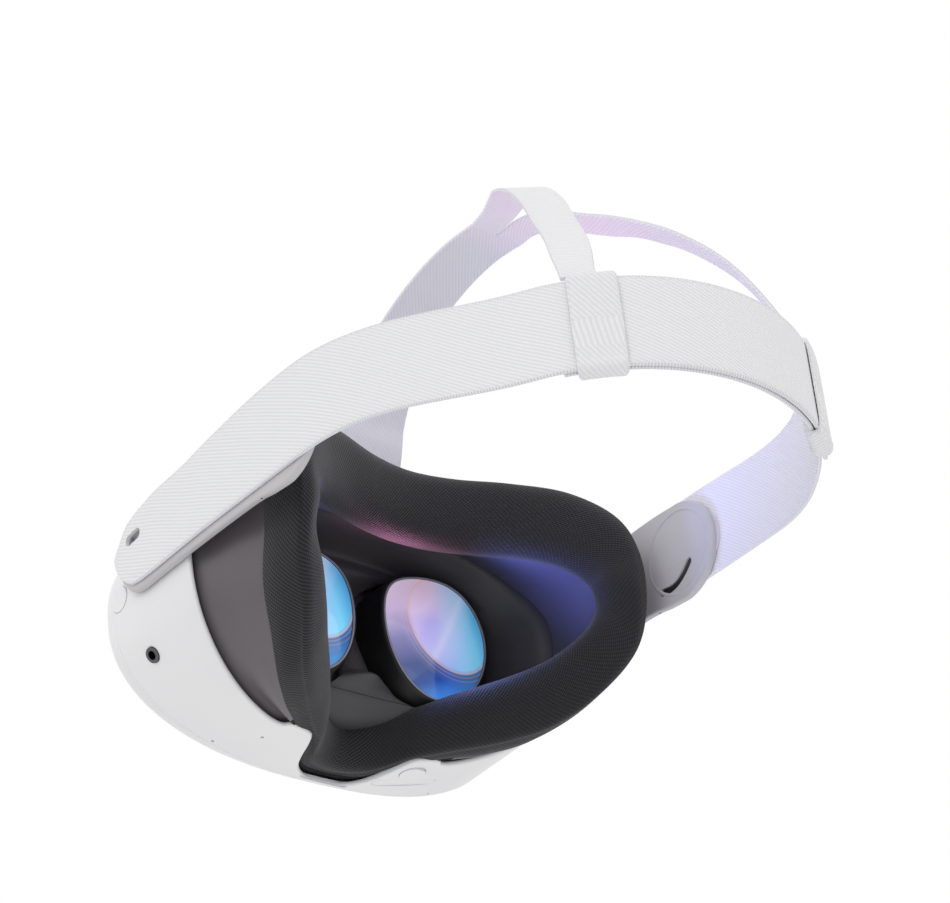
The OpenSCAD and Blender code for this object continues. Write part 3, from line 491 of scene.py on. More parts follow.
# ------------------------------------------------------------------ face interface
ST = [
  [[0, 34.4, -46], [0, 26, -31], 2.8], [[12, 29, -46.7], [11, 19, -30.5], 5.4], [[20, 14.5, -47], [21, 4, -29.8], 8.4],
  [[32, 0.6, -47], [31, -12, -28.6], 7.7], [[44, -13.5, -47.3], [42, -27, -27], 10.5], [[56, -29, -45.3], [51, -40, -24], 13],
  [[67, -46, -37.5], [58.5, -48.5, -17], 17], [[76, -59, -24], [64.5, -51.2, -8], 20], [[78.6, -66, -5], [65.5, -52, 0], 20],
  [[78, -66, 15], [63.5, -49.5, 8], 19], [[72, -62, 31], [56, -45, 14], 17], [[58, -52, 43], [44, -38, 18], 15],
  [[38, -42, 47], [30, -30, 20], 13], [[18, -34, 47.5], [14, -26, 20], 12], [[0, -31, 47.5], [0, -25, 20], 12]]
RING = np.array([list(s[0]) + list(s[1]) + [s[2]] for s in ST] + [[-s[0][0], s[0][1], s[0][2], -s[1][0], s[1][1], s[1][2], s[2]] for s in ST[13:0:-1]], float)
NR = len(RING)
SUB = 12
FINE = cr(RING, SUB, closed=True)
O_, I_, SO = FINE[:, :3], FINE[:, 3:6], FINE[:, 6]
M_ = len(FINE)
ARCL = np.concatenate([[0], np.cumsum(np.linalg.norm(np.diff((O_ + I_) / 2, axis=0), axis=1))])

def skirt(i, a, b, dy):
    x, z = O_[i][0], O_[i][2]
    q = ((abs(x) / a) ** N_ + (abs(z) / b) ** N_) ** (-1 / N_)
    X = x * q
    e = edge(X) + dy + (21 * math.cos(math.radians(min(90, abs(X) * 90 / 27))) ** 1.2 if z < 0 and abs(X) < 27 else 0)
    return np.array([X, min(36.8, e), z * q])
def seam(i, g):
    O = O_[i]; d = unit([O[0], 0, O[2]])
    return np.array([O[0], min(36.6, O[1] + max(SO[i], 3.6)), O[2]]) - d * g

def cushion():
    R, U = [], []
    crown = [[-0.995, 0.12], [-0.92, 0.55], [-0.66, 0.90], [-0.25, 1.05], [0.25, 1.05], [0.66, 0.86], [0.92, 0.52], [1.0, 0.1], [0.96, -0.42], [0.7, -0.8], [0.1, -0.95]]
    for i in range(M_):
        O, I = O_[i], I_[i]
        w = I - O; c = (O + I) / 2; ex = unit(w); dn = np.array([0, -1.0, 0])
        bk = unit(dn - ex * ex.dot(dn)); h = np.linalg.norm(w) / 2
        d = unit([O[0], 0, O[2]])
        sag = 1 + 0.012 * math.sin(i * 2 * math.pi * 5 / M_) + 0.010 * math.sin(i * 2 * math.pi * 11 / M_)
        cp = [c + ex * h * p[0] * 0.995 + bk * 7.2 * p[1] * sag for p in crown]
        a0 = seam(i, 0.15) - np.array([0, 0.55, 0]); a1 = a0 * 0.55 + cp[0] * 0.45 + d * min(1.0, 0.06 * SO[i]); b0 = seam(i, 1.3) - np.array([0, 0.1, 0]); b1 = seam(i, 4.5) - np.array([0, 1.4, 0])
        ctl = [a0, a1] + cp + [b1, b0]
        P = cr(ctl, 4, closed=True)
        ring, vv, acc, prev = [], [], 0.0, None
        for q in P:
            if prev is not None: acc += np.linalg.norm(q - prev)
            prev = q; ring.append(q); vv.append(acc)
        R.append(ring); U.append([(ARCL[i] * MM, v * MM) for v in vv])
    return loft("face_cushion", R, closed_u=True, closed_v=True, mats=[KNIT], uvs=U, angle=60)
foam = cushion()
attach(foam, "face_interface"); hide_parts("foam_cushion")

def side_wall():
    R = []
    for i in range(M_):
        s0 = skirt(i, 84.0, 46.8, 6); s1 = skirt(i, 83.5, 46.3, -2.5); e = seam(i, -0.1)
        m = (s1 + e) / 2; d = unit([m[0], 0, m[2]])
        up = cr([s0, s1, s1 * 0.66 + e * 0.34 + d * 0.5, s1 * 0.33 + e * 0.67 + d * 0.7, e], 4, closed=False)
        dn = unit([O_[i][0], 0, O_[i][2]])
        lip = [e - np.array([0, 0.45, 0]) - dn * 0.15, e - np.array([0, 0.7, 0]) - dn * 0.7, e - np.array([0, 0.6, 0]) - dn * 1.6, e + np.array([0, 0.6, 0]) - dn * 2.0]
        back = [skirt(i, 81.7, 44.5, -3), skirt(i, 82.2, 45.0, 6)]
        R.append(list(up) + lip + back)
    ob = loft("interface_side_wall", R, closed_u=True, closed_v=True, mats=[WALL, GAP], angle=50,
              fmat=lambda i, j: 1 if i < 3.3 * SUB or i > (NR - 3.3) * SUB else 0)
    return ob
wall = side_wall()
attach(wall, "face_interface"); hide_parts("interface_frame")

# dark seam roll between the wall and the fabric
def seam_roll():
    R = []
    for i in range(M_):
        e = seam(i, 0.9); dn = unit([O_[i][0], 0, O_[i][2]])
        c = e + np.array([0, -1.0, 0])
        R.append([c + dn * 0.8 * math.cos(a) + np.array([0, 0.8 * math.sin(a), 0]) for a in np.linspace(0, 2 * math.pi, 9)[:-1]])
    return loft("cushion_seam_roll", R, closed_u=True, closed_v=True, mats=[GAP], angle=60)
roll = seam_roll()
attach(roll, "face_interface")

# panel boundary round the lenses, one point for each station
def panel_edge(i):
    x, z = O_[i][0], O_[i][2]
    X, Z = I_[i][0], I_[i][2]
    q = ((abs(X) / 74.0) ** N_ + (abs(Z) / 39.0) ** N_) ** (-1 / N_)
    return np.array([X * q, 3.6, Z * q])
PEDGE = np.array([panel_edge(i) for i in range(M_)])
low = np.array([[0, 8.0, -27.2], [12, 7.5, -27.6], [22, 5, -29.0], [33, 1.0, -33.4], [46, -3.0, -34.4], [56.5, -7, -29.5]])
PY = {6: -11, 7: -14, 8: -15, 9: -15, 10: -13, 11: -10, 12: -8, 13: -7, 14: -7}
mid_ = []
for k in range(6, NR - 5):
    q = PEDGE[k * SUB].copy(); q[1] = PY[k if k <= 14 else NR - k]; mid_.append(q)
ctrl = np.array([low[0]] + [low[k] for k in range(1, 6)] + mid_ + [low[k] * np.array([-1, 1, 1]) for k in range(5, 0, -1)])
PE = cr(ctrl, SUB, closed=True)

def liner():
    R = []
    for i in range(M_):
        I = I_[i]; P = PE[i]; w = unit(I - O_[i])
        a = I - w * 2.4 + np.array([0, 1.5, 0])
        d = unit([P[0], 0, P[2]])
        m1 = a * 0.62 + P * 0.38 + d * 2.0; m2 = a * 0.28 + P * 0.72 + d * 2.2
        inner = cr([a, m1, m2, P + d * 0.15 + np.array([0, -0.3, 0])], 5, closed=False)
        out = [p + d * 1.3 + np.array([0, 0.4, 0]) for p in inner[::-1]]
        R.append(list(inner) + out)
    return loft("interface_inner_wall", R, closed_u=True, closed_v=True, mats=[VIOLET, MASK], angle=50,
                fmat=lambda i, j: 0 if 5.2 * SUB < i < (NR - 5.2) * SUB else 1)
lin = liner()
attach(lin, "face_interface"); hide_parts("interface_liner")

LO = np.array([[-23, 12.8], [-24.4, 1.7], [-21.6, -12.5], [-13.2, -24.0], [-2.4, -27.2], [8.5, -23.8], [18.0, -13.2], [22.2, 0.6], [20.2, 13.1], [13.1, 22.2], [1.6, 25.4], [-10.4, 23.6], [-18.6, 19.6]], float)
LOS = cr(LO, 8, closed=True)
def lowpass(P, keep=4):
    F = np.fft.fft(P[:, 0] + 1j * P[:, 1]); n = len(F)
    f = np.abs(np.fft.fftfreq(n, 1 / n)); F[f > keep] = 0
    Z = np.fft.ifft(F); return np.stack([Z.real, Z.imag], 1)
LOS = lowpass(LOS, 5) * 0.99
def lens_line(s, g):
    return np.stack([s * IPD / 2 + s * LOS[:, 0] * (1 + g / 22), LOS[:, 1] * (1 + g / 26)], 1)

def mask():
    c0 = np.array([0, 0, 0.0])
    rows = []
    rs = np.linspace(0.02, 1.0, 40)
    def hgt(x, z, r, ye):
        y = 9.6 + (ye - 9.6) * float(sstep(r, 0.78, 1.0)) ** 0.9
        y += 6.6 * (1 - float(sstep(abs(z), 18, 28))) * (1 - float(sstep(r, 0.6, 0.85)))
        y -= 0.6 * float(sstep(r, 0.3, 0.8))
        y -= 7.0 * np.exp(-(x / 11.0) ** 2) * float(sstep(-z, -16, 26)) * (1 - float(sstep(r, 0.8, 1.0)))
        y -= 2.0 * np.exp(-(x / 7.0) ** 2) * (1 - float(sstep(r, 0.8, 1.0))) * (1 - float(sstep(z, 0, 14)))
        return y
    front, back = [], []
    for r in rs:
        a, b = [], []
        for i in range(M_):
            x, z = PE[i][0] * r, PE[i][2] * r
            y = hgt(x, z, r, PE[i][1])
            a.append((x, y, z)); b.append((x, y + 1.6, z))
        front.append(a); back.append(b)
    R = front + back[::-1]
    ob = loft("lens_mask", R, closed_u=True, closed_v=True, mats=[MASK], angle=50)
    cs = []
    for s in (-1, 1):
        Q = np.array(lens_line(s, 2.3))
        pts = sorted(set(map(tuple, np.round(np.concatenate([Q + [s * 4.2, 0], Q - [s * 2.7, 0]]), 3).tolist())))
        half = []
        for seq in (pts, pts[::-1]):
            h = []
            for q in seq:
                while len(h) > 1 and (h[-1][0] - h[-2][0]) * (q[1] - h[-2][1]) - (h[-1][1] - h[-2][1]) * (q[0] - h[-2][0]) <= 0: h.pop()
                h.append(q)
            half += h[:-1]
        Q = np.array(half)
        cs.append(prism_ob(Q, (0, 0, 0), (1, 0, 0), (0, 0, 1), (0, 1, 0), -20, 22))
    cut(ob, *cs, keep_sharp=50)
    return ob
msk = mask()
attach(msk, "visor"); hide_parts("eye_panel")

# ------------------------------------------------------------------ optics
def optic(s, side):
    def ring(g, y):
        L = lens_line(s, g); return [(p[0], y, p[1]) for p in L]
    R = [ring(1.7, 17.4), ring(1.7, 10), ring(1.6, 4), ring(1.45, 0.6), ring(1.25, -0.3), ring(0.85, -0.8), ring(0.45, -0.85), ring(0.12, -0.6), ring(0.02, 0.2), ring(0.02, 5), ring(0.02, 12.6), ring(-4, 12.8), ring(-4, 13.9)]
    b = loft(side + "_lens_barrel", R, closed_u=True, closed_v=True, mats=[BLACK], angle=45)
    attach(b, side + "_optic"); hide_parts(side + "_barrel")
    # bright bead round the glass
    R = [ring(0.05 + 0.42 * math.cos(a), -0.75 + 0.34 * math.sin(a)) for a in np.linspace(0, 2 * math.pi, 9)[:-1]]
    bead = loft(side + "_lens_bead", R, closed_u=True, closed_v=True, mats=[RIM], angle=60)
    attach(bead, side + "_optic")
    L0 = lens_line(s, -0.35)
    c = np.array([s * (IPD / 2 + 0.6), 0.3])
    R = []
    for r in np.linspace(1, 0.01, 22):
        y = -0.35 - 2.6 * (1 - r * r) - 0.0
        R.append([(c[0] + (p[0] - c[0]) * r, max(y, -3.0), c[1] + (p[1] - c[1]) * r) for p in L0])
    back = []
    for r in np.linspace(0.01, 1, 8):
        back.append([(c[0] + (p[0] - c[0]) * r, 5.8 - 0.8 * r * r, c[1] + (p[1] - c[1]) * r) for p in L0])
    # the glass gets painted reflections, a painted highlight and an emission glow
    l = loft(side + "_lens_glass", R + back, closed_u=True, closed_v=True, mats=[lens_painted_reflection_mat(side + "_lens_painted_reflections", s * IPD / 2)], angle=60)
    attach(l, side + "_optic"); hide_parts(side + "_lens")
for s, side in ((-1, "left"), (1, "right")):
    optic(s, side)

# ------------------------------------------------------------------ headband: skins, arms
SK_LO = np.array([[27.85, 15.0], [27.5, 12.3], [26.4, 8.9], [24.1, 5.7], [21.4, 3.0], [17.9, 0.8], [10, -0.1], [-0.9, -0.3], [-26.8, -0.6], [-58, -1.9], [-82, -3.0]])
SK_HI = np.array([[27.85, 16.0], [27.2, 17.4], [25.5, 19.2], [22.4, 22.9], [19.4, 25.9], [14.5, 27.7], [9, 28.9], [-0.5, 30.4], [-18.9, 31.0], [-32.8, 32.5], [-62, 34.4], [-82, 34.2]])
SK_LO = cr(SK_LO, 6, closed=False); SK_HI = cr(SK_HI, 6, closed=False)
def skin_lo(y): return np.interp(-y, -SK_LO[:, 0], SK_LO[:, 1])
def skin_hi(y): return np.interp(-y, -SK_HI[:, 0], SK_HI[:, 1])

def side_path(r0, rj):
    out = []
    ys = list(27.8 - 27.8 * (1 - np.cos(np.linspace(0, math.pi / 2, 14)))) + list(np.arange(-2.5, -80.1, -2.5))
    for y in ys:
        lo, hi = skin_lo(y), skin_hi(y)
        out.append([r0, y, (lo + hi) / 2, (hi - lo) / 2])
    lo, hi = skin_lo(-80), skin_hi(-80)
    z0, h0 = (lo + hi) / 2, (hi - lo) / 2
    a = math.radians(ARC)
    p0 = np.array([r0, -84.0]); p1 = np.array([rj * math.sin(a), BAND_Y - rj * math.cos(a)])
    t0 = np.array([0, -130.0]); t1 = np.array([-math.cos(a), -math.sin(a)]) * 95
    n = 32
    for i in range(n):
        t = i / n
        p = p0 * (2 * t ** 3 - 3 * t * t + 1) + t0 * (t ** 3 - 2 * t * t + t) + p1 * (3 * t * t - 2 * t ** 3) + t1 * (t ** 3 - t * t)
        out.append([p[0], p[1], z0 + (0 - z0) * float(sstep((i / 2 + 1) / 17, 0, 1)), h0 + (STRAP_W / 2 - h0) * float(sstep(i / 12, 0, 1))])
    for d in np.arange(ARC, -(SL_DEG + 10) - 0.01, -1.0):
        b = math.radians(d)
        out.append([rj * math.sin(b), BAND_Y - rj * math.cos(b), 0, STRAP_W / 2])
    return np.array(out)

VS = np.array([-1, -0.985, -0.955, -0.93, -0.90, -0.86, -0.6, -0.3, 0, 0.3, 0.6, 0.86, 0.90, 0.93, 0.955, 0.985, 1])
def strap_profile(v, h):
    """Height of the outer face above the mid plane and of the inner face below it, in units of the strap's thickness, at v across the width."""
    e = (1 - abs(v)) * h                     # mm from the edge
    rim = math.sqrt(max(0.0, 1 - (1 - min(e, 0.8) / 0.8) ** 2))
    groove = -0.16 * math.exp(-((e - 1.25) / 0.35) ** 2)
    return 0.5 * rim + (groove if h > 6 else 0), 0.5 * rim

def skin_strap(name, mirror, rj, mats):
    P = side_path(90.6, rj)
    R, U = [], []
    s = 0.0
    for i in range(len(P)):
        q = P[i + 1] if i < len(P) - 1 else 2 * P[i] - P[i - 1]
        d = unit(q[:2] - P[i][:2]); n = np.array([-d[1], d[0]])
        if i: s += np.linalg.norm(P[i][:3] - P[i - 1][:3])
        h = max(P[i][3], 0.25)
        top, bot, ut, ub = [], [], [], []
        for v in VS:
            a, b = strap_profile(v, h)
            cx, cy = P[i][0] + n[0] * STRAP_T / 2, P[i][1] + n[1] * STRAP_T / 2
            top.append((cx + n[0] * STRAP_T * a, cy + n[1] * STRAP_T * a, P[i][2] + h * v)); ut.append((s * MM, h * v * MM))
            bot.append((cx - n[0] * STRAP_T * b, cy - n[1] * STRAP_T * b, P[i][2] + h * v)); ub.append((s * MM, h * v * MM))
        R.append(top + bot[::-1][1:-1]); U.append(ut + ub[::-1][1:-1])
    R = np.array(R)
    if mirror: R[:, :, 0] *= -1
    nv = len(VS)
    def fm(i, j):
        if j < 2 or nv - 3 <= j < nv - 1: return 2
        if j < nv - 1: return 0
        return 1
    return loft(name, R, closed_u=True, cap=True, mats=mats, fmat=fm, uvs=U, angle=60), P

skl, PL = skin_strap("side_strap_left_cloth", True, BAND_R, [STRAP_L, STRAP_IN, EDGEM])
skr, PR = skin_strap("side_strap_right_cloth", False, BAND_R - STRAP_T - 0.4, [STRAP_R, STRAP_IN, EDGEM])
# USB slot through the left skin, in a shallow recess
def usb_cut(ob):
    c = prism_ob(pill2(4.4, 9.4), (-92.6, 15, 18.9), (0, 0.06, 1), (0, 1, -0.06), (1, 0, 0), -3, 3.2)
    cut(ob, c, keep_sharp=50)
usb_cut(skl)
for ob, P, cad in ((skl, PL, "side_strap_left"), (skr, PR, "side_strap_right")):
    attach(ob, "headband"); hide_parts(cad)

ARM = [[17.6, -1.6], [24, 3], [27.2, 9], [27.8, 15], [25.4, 19.6], [22.2, 23.4], [19, 26.2], [14.5, 28.4], [9, 30], [0, 31.2], [-18, 31.8], [-32, 33], [-62, 33.2], [-76.8, 32.2]]
ARM += [[-76.8 + 19.8 * math.cos(math.radians(90 + 180 * i / 18)), 12.4 + 19.8 * math.sin(math.radians(90 + 180 * i / 18))] for i in range(1, 18)]
ARM += [[-76.8, -7.4], [-67, -6.3], [-57, -4.7], [-30, -3.2], [0, -2.2]]
ARMS = cr(np.array(ARM), 4, closed=True)
def arm(side, s):
    # the left arm takes the white plastic darkened by painted shade
    ob = slab("arm_" + side, ARMS, 87.4, 90.5, [CLIP_PAINTED_SHADE if s < 0 else LILAC], r=0.9)
    cs = []
    if s < 0:
        ob.data.transform(Matrix.Scale(-1, 4, (1, 0, 0))); fix_normals(ob)
        cs.append(prism_ob(pill2(4.6, 9.2), (-92.0, 15, 18.9), (0, 0, 1), (0, 1, 0), (1, 0, 0), -2, 2.9))
    # a slot for the speaker, curved
    pts = []
    C = [(-65.8 - j * 4, 0.6 - 1.4 * math.sin(math.radians(j * 45)) + j * j * 0.31) for j in np.linspace(0, 4, 15)]
    C = np.array(C); T = np.gradient(C, axis=0); T /= np.linalg.norm(T, axis=1)[:, None]; Nn = np.stack([-T[:, 1], T[:, 0]], 1)
    poly = [tuple(c + n * 1.6) for c, n in zip(C, Nn)]
    t = T[-1]; n = Nn[-1]
    poly += [tuple(C[-1] + 1.6 * (n * math.cos(a) + t * math.sin(a))) for a in np.linspace(0.2, math.pi - 0.2, 7)]
    poly += [tuple(c - n * 1.6) for c, n in zip(C[::-1], Nn[::-1])]
    t = T[0]; n = Nn[0]
    poly += [tuple(C[0] + 1.6 * (-n * math.cos(a) - t * math.sin(a))) for a in np.linspace(0.2, math.pi - 0.2, 7)]
    cs.append(prism_ob(poly, (0, 0, 0), (0, 1, 0), (0, 0, 1), (s, 0, 0), 85, 89.0))
    cut(ob, *cs, keep_sharp=40)
    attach(ob, "headband"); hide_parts("side_arm_" + side)
    # round boss ring on the inner face at the arm's end
    R = []
    for x, r in [(87.55, 17.2), (87.3, 17.0), (87.2, 16.5), (87.3, 16.0), (87.55, 15.8)]:
        R.append([(s * x, -76.8 + r * math.cos(a), 12.4 + r * math.sin(a)) for a in np.linspace(0, 2 * math.pi, 97)[:-1]])
    rg = loft("arm_end_ring_" + side, R, closed_u=True, closed_v=True, mats=[LILAC], angle=60)
    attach(rg, "headband")
for side, s in (("left", -1), ("right", 1)):
    arm(side, s)

# ------------------------------------------------------------------ sliders
def slider(side, s):
    c0 = -90 + s * SL_DEG
    sl_in, sl_out = BAND_R - STRAP_T - 0.8, BAND_R + STRAP_T + 0.4
    rm = (sl_in + sl_out) / 2
    # loop round both layers: superellipse outside, following channel inside
    def loop(g, zc, bot):
        pts = []
        hw, hh = (sl_out - sl_in) / 2 + g, zc
        for k in range(56):
            t = 2 * math.pi * k / 56
            c, d = math.cos(t), math.sin(t)
            x = hw * np.sign(c) * abs(c) ** 0.55
            z = hh * np.sign(d) * abs(d) ** 0.30
            if z < 0: x = x * (1 + bot * math.exp(-((abs(z) - hh + 1.5) / 2.2) ** 2))
            pts.append((rm + x, z))
        return pts
    R, U = [], []
    half = 6.35
    angs = np.linspace(-half, half, 25)
    def ring(a, g, hh, bot):
        A = math.radians(c0 + a)
        return [(p[0] * math.cos(A), BAND_Y + p[0] * math.sin(A), p[1]) for p in loop(g, hh, bot)]
    arc = lambda a: rm * math.radians(a)
    for a in angs:
        e = (half - abs(a)) / half
        rim = math.sqrt(max(0.0, 1 - (1 - min(1, e * 6)) ** 2))
        wob = 0.12 * math.sin(a * 1.9 + s) + 0.08 * math.sin(a * 4.1)
        R.append(ring(a, 0.75 + 0.7 * rim + wob * rim, 19.0 + 0.75 * rim, 0.28 * rim))
    inner = []
    for a in angs[::-1]:
        inner.append(ring(a, 0.12, 18.15, 0.0))
    n = 56
    for rows in (R, inner):
        for k, a in enumerate(angs if rows is R else angs[::-1]):
            acc, uu = 0.0, []
            pr = None
            for p in loop(1.4, 19.7, 0):
                if pr: acc += math.hypot(p[0] - pr[0], p[1] - pr[1])
                pr = p; uu.append((arc(a) * MM, acc * MM))
            U.append(uu)
    ob = loft("slider_sleeve_" + side, R + inner, closed_u=True, closed_v=True, mats=[SLEEVE], uvs=U, angle=70)
    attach(ob, "rear_slider_" + side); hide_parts("slider_" + side)
for side, s in (("left", -1), ("right", 1)):
    slider(side, s)

# ------------------------------------------------------------------ over-head strap and branches
def ribbon(name, NE, FE, t, mats, crown=0.0, start=0.0, outer=None):
    """A flat strap between two edge lines; its outer face is the one away from the head (outer gives the way)."""
    NE, FE = np.asarray(NE, float), np.asarray(FE, float)
    C = (NE + FE) / 2
    T = np.gradient(C, axis=0); T /= np.linalg.norm(T, axis=1)[:, None]
    R, U = [], []
    s = 0.0
    for i in range(len(C)):
        if i: s += np.linalg.norm(C[i] - C[i - 1])
        w = NE[i] - FE[i]; n = unit(np.cross(w, T[i]))
        if n.dot(outer(C[i])) < 0: n = -n
        h = np.linalg.norm(w) / 2
        top, bot, ut, ub = [], [], [], []
        for v in VS:
            a, b = strap_profile(v, h)
            p = C[i] + w / 2 * v + n * crown * (1 - v * v)
            top.append(p + n * t * a); bot.append(p - n * t * b); ut.append((s * MM, h * v * MM)); ub.append((s * MM, h * v * MM))
        R.append(top + bot[::-1][1:-1]); U.append(ut + ub[::-1][1:-1])
    nv = len(VS)
    def fm(i, j):
        if j < 2 or nv - 3 <= j < nv - 1: return 2
        return 0 if j < nv - 1 else 1
    ob = loft(name, R, closed_u=True, cap=True, mats=mats, fmat=fm, uvs=U, angle=60)
    W = float(np.linalg.norm(NE - FE, axis=1).max()); L = s
    A = float(sum(np.linalg.norm(C[i + 1] - C[i]) * (np.linalg.norm(NE[i] - FE[i]) + np.linalg.norm(NE[i + 1] - FE[i + 1])) / 2 for i in range(len(C) - 1)))
    return ob, (W * MM, L * MM), min(A * 1e-6, W * L * 1e-6)

HEADC = np.array([0, -90.0, 20.0])
away = lambda p: np.asarray(p) - HEADC
TOP = np.array([[3.6, 50.7, 14.5], [3.2, 54, 14.5], [-4, 58, 14.5], [-9, 63.5, 14.5], [-12, 71, 14.4], [-15, 80, 14.2], [-23, 91, 13.6], [-34, 101, 12.4], [-50, 109, 11.6], [-67, 113.4, 11.5], [-83, 114.6, 11.6], [-98.6, 113.1, 12]])
TF = cr(TOP, 8, closed=False)
top, flat, area = ribbon("over_head_strap", [(p[2], p[0], p[1]) for p in TF], [(-p[2], p[0], p[1]) for p in TF], 1.5, [WEAVE_TOP, STRAP_IN, EDGEM], outer=away)
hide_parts("top_strap")
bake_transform(top)

BL = [[[12, -98.6, 113], [0.3, -98.4, 113.2]], [[12, -105, 114.5], [0.4, -108, 113]], [[14, -112, 115.5], [1, -115, 113.5]], [[17, -118, 114], [3, -124, 113]], [[20, -127, 108], [7, -134, 108.5]], [[25, -137, 98], [11, -144, 100]],
  [[31, -149, 83], [17, -156, 86]], [[37, -160, 66.5], [24, -167, 71]], [[43, -171, 51], [32, -181, 50]], [[49, -180, 36], [39, -190, 36]], [[53, -186.4, 26], [43.6, -195, 24.5]], [[54, -188.6, 20.3], [44.6, -197.2, 20.3]]]
BR = [[[12, -98.6, 113], [0.3, -98.4, 113.2]], [[12, -106, 112.4], [0.4, -108, 112.8]], [[14, -114, 109.6], [2, -117, 111.4]], [[20, -125, 104], [7, -127, 107.6]], [[24, -134, 98.5], [11, -135.5, 102.6]], [[28, -144, 93], [15, -145, 97]],
  [[32, -151, 87.6], [21, -156, 89.2]], [[37, -159, 80.6], [26, -165, 81]], [[43, -168, 69.6], [32, -175, 69]], [[47.4, -175.4, 57.6], [37, -182.4, 56.5]], [[51, -181.6, 43], [41, -189.4, 41]], [[53.6, -186.6, 27], [43.8, -195, 26]], [[54.4, -188.6, 20.3], [45, -197.2, 20.3]]]
def branch(side, s, B):
    B = np.array(B, float)
    P = cr(B.reshape(len(B), 6), 8, closed=False)
    NE, FE = P[:, :3].copy(), P[:, 3:].copy()
    NE[:, 0] *= s; FE[:, 0] *= s
    ob, flat, area = ribbon("branch_strap_" + side, NE, FE, 1.5, [WEAVE_TOP, STRAP_IN, EDGEM], outer=away)
    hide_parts("branch_" + side)
    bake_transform(ob)
branch("left", -1, BL)
branch("right", 1, BR)

# ------------------------------------------------------------------ finishes of the CAD nodes that stay
def give(mat, *nodes):
    for n in nodes:
        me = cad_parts[n].data
        me.materials.clear(); me.materials.append(mat)
def rocker():
    def surf(x): return B_ * (1 - (abs(x) / A_) ** N_) ** (1 / N_)
    P0 = pill2(4.46, 25.86, 16)
    rings = []
    for ins, dz in ((0.0, -1.6), (0.0, -0.12), (0.12, 0.05), (0.4, 0.16), (1.0, 0.2)):
        row = []
        for u, v in P0:
            L = math.hypot(u, v); k = max(0.0, 1 - ins / 2.23)
            uu = u * k; vv = v - math.copysign(min(ins, abs(v)), v) if abs(v) > 2 else v
            w = np.array([rock[0], rock[1]]) + ry[:2] * uu + rx[:2] * vv
            row.append((w[0], w[1], -(surf(w[0]) + dz)))
        rings.append(row)
    ob = loft("volume_rocker_cap", rings, closed_u=True, cap=True, mats=[WHITE], angle=40)
    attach(ob, "volume_key"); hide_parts("volume_rocker")
rocker()
give(WHITE, "top_strap_anchor", "power_button", "spacing_dial")
give(GLOSS, "camera_window_left", "camera_window_right", "depth_window")
give(BLACK, "colour_camera_left", "colour_camera_right", "tracking_camera_left", "tracking_camera_right", "depth_projector", "proximity_sensor",
     "left_barrel", "right_barrel", "fan_rotor", "fan_housing", "depth_latch_left", "depth_latch_right", "microphones", "left_rack", "right_rack", "speaker_left", "speaker_right", "battery_pack")
give(ALU, "chassis")
give(PCB, "main_board")
give(COPPER, "heat_spreader")
give(STEEL, "spacing_rods", "pivot_pins", "chassis_screws", "board_screws", "usb_port")
give(DARKSTEEL, "audio_jack", "speaker_mesh_left", "speaker_mesh_right")
give(DISPLAY, "left_display", "right_display")
give(TONGUE, "strap_tongue_left", "strap_tongue_right")

# ------------------------------------------------------------------ light, floor, camera
sc = bpy.context.scene
world = bpy.data.worlds.new("studio"); sc.world = world; world.use_nodes = True
bg = world.node_tree.nodes["Background"]
bg.inputs["Strength"].default_value = 1.0
# pale studio: white above, greyer below, by world direction
tc = world.node_tree.nodes.new("ShaderNodeTexCoord"); sx = world.node_tree.nodes.new("ShaderNodeSeparateXYZ")
wr = world.node_tree.nodes.new("ShaderNodeValToRGB")
world.node_tree.links.new(tc.outputs["Generated"], sx.inputs[0]); world.node_tree.links.new(sx.outputs["Z"], wr.inputs["Fac"])
mr = world.node_tree.nodes.new("ShaderNodeMapRange"); mr.inputs["From Min"].default_value = -1; mr.inputs["From Max"].default_value = 1
world.node_tree.links.new(sx.outputs["Z"], mr.inputs["Value"]); world.node_tree.links.new(mr.outputs["Result"], wr.inputs["Fac"])
e = wr.color_ramp.elements
e[0].position = 0.26; e[0].color = (0.17, 0.165, 0.17, 1); e[1].position = 0.60; e[1].color = (1, 1, 1, 1)
world.node_tree.links.new(wr.outputs["Color"], bg.inputs["Color"])
sc.view_settings.view_transform = "Standard"

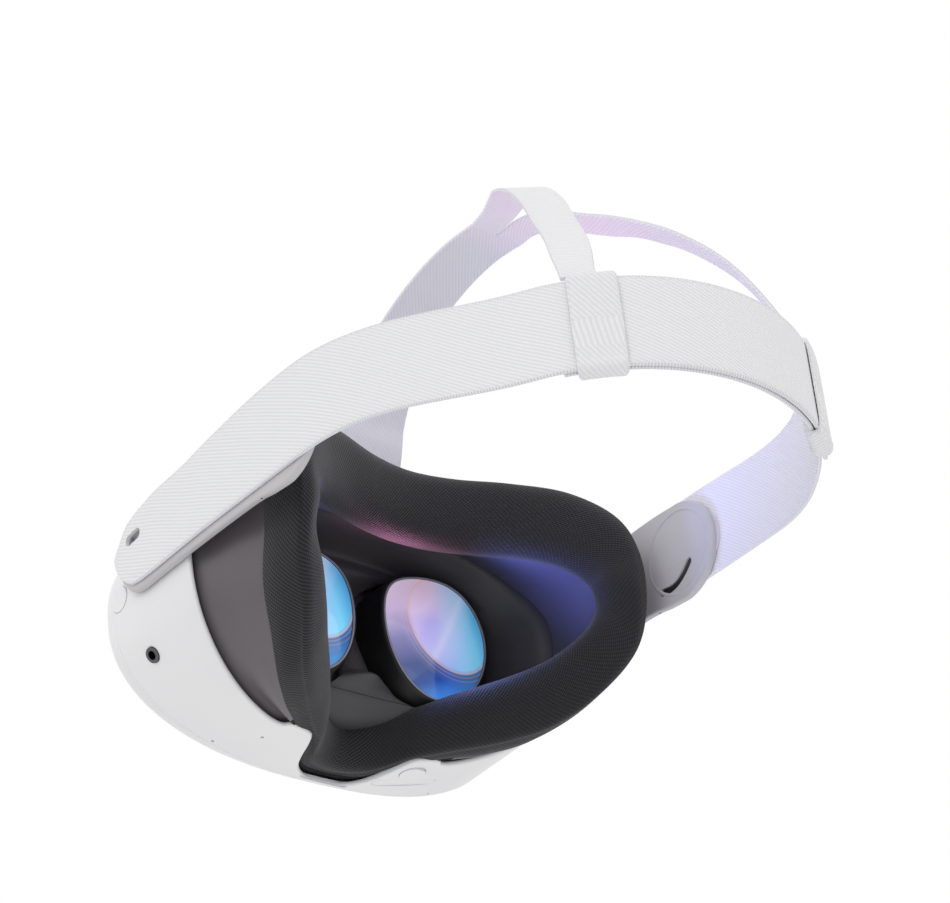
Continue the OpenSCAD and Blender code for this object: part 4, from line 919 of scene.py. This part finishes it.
def area(name, loc, target, size, power, color=(1, 1, 1), cam=False, spread=math.pi):
    l = bpy.data.lights.new(name, "AREA"); l.energy = power; l.size = size; l.color = color; l.shape = "DISK"; l.spread = spread
    o = bpy.data.objects.new(name, l); sc.collection.objects.link(o)
    o.location = loc
    o.rotation_euler = (Vector(target) - Vector(loc)).to_track_quat("-Z", "Y").to_euler()
    o.visible_camera = cam
    return o
R3 = np.array([[0.79686, -0.59564, -0.10109], [0.24519, 0.47177, -0.84695], [0.55217, 0.65012, 0.52198]])
tt = np.array([-39.158, 62.383, 1403.197])
loc = -R3.T @ tt * MM
right, up, back = R3[0], -R3[1], -R3[2]
cam = bpy.data.cameras.new("camera"); co = bpy.data.objects.new("camera", cam); sc.collection.objects.link(co)
co.matrix_world = Matrix([[right[0], up[0], back[0], loc[0]], [right[1], up[1], back[1], loc[1]], [right[2], up[2], back[2], loc[2]], [0, 0, 0, 1]])
cam.sensor_width = 36; cam.lens = 3804.3 / 950 * 36; cam.clip_end = 50; cam.clip_start = 0.05
sc.camera = co

def at(r, u, b):
    """A place given from the object's middle: right, up and toward the viewer, in metres."""
    v = right * r + up * u + back * b
    return tuple(np.array([0, -0.07, 0.02]) + v)
mid = (0, -0.06, 0.01)
area("key", at(-0.8, 0.9, 0.9), mid, 0.8, 2.2)
area("fill", at(1.0, 0.5, 0.6), mid, 0.8, 0.6)
def glow(name, loc, target, size, power, color, deg=120):
    o = area(name, [v * MM for v in loc], [v * MM for v in target], size * MM, power, color, spread=math.radians(deg))
    o.visible_glossy = False
    return o
glow("pink_glow", (-6, -10, -2), (-2, -34, 30), 14, 0.020, (1.0, 0.36, 0.66), 95)
glow("blue_glow", (30, -26, -6), (62, -58, 26), 16, 0.020, (0.28, 0.34, 1.0), 110)
glow("blue_low", (24, -14, -6), (40, -26, -40), 12, 0.016, (0.25, 0.36, 1.0))
glow("blue_near", (-40, -26, -8), (-66, -56, -22), 12, 0.03, (0.2, 0.34, 1.0))
me = bpy.data.meshes.new("floor"); me.from_pydata([(-6, -6, -2.2), (6, -6, -2.2), (6, 6, -2.2), (-6, 6, -2.2)], [], [(0, 1, 2, 3)])
floor = bpy.data.objects.new("floor", me); sc.collection.objects.link(floor)
FM = Mat("floor_pale", (0.9, 0.9, 0.9), 0.8)
FM.base(FM.ramp(FM.noise(2, 2), [(0.3, (0.88, 0.88, 0.88)), (0.7, (0.92, 0.92, 0.92))]))
me.materials.append(FM.m)
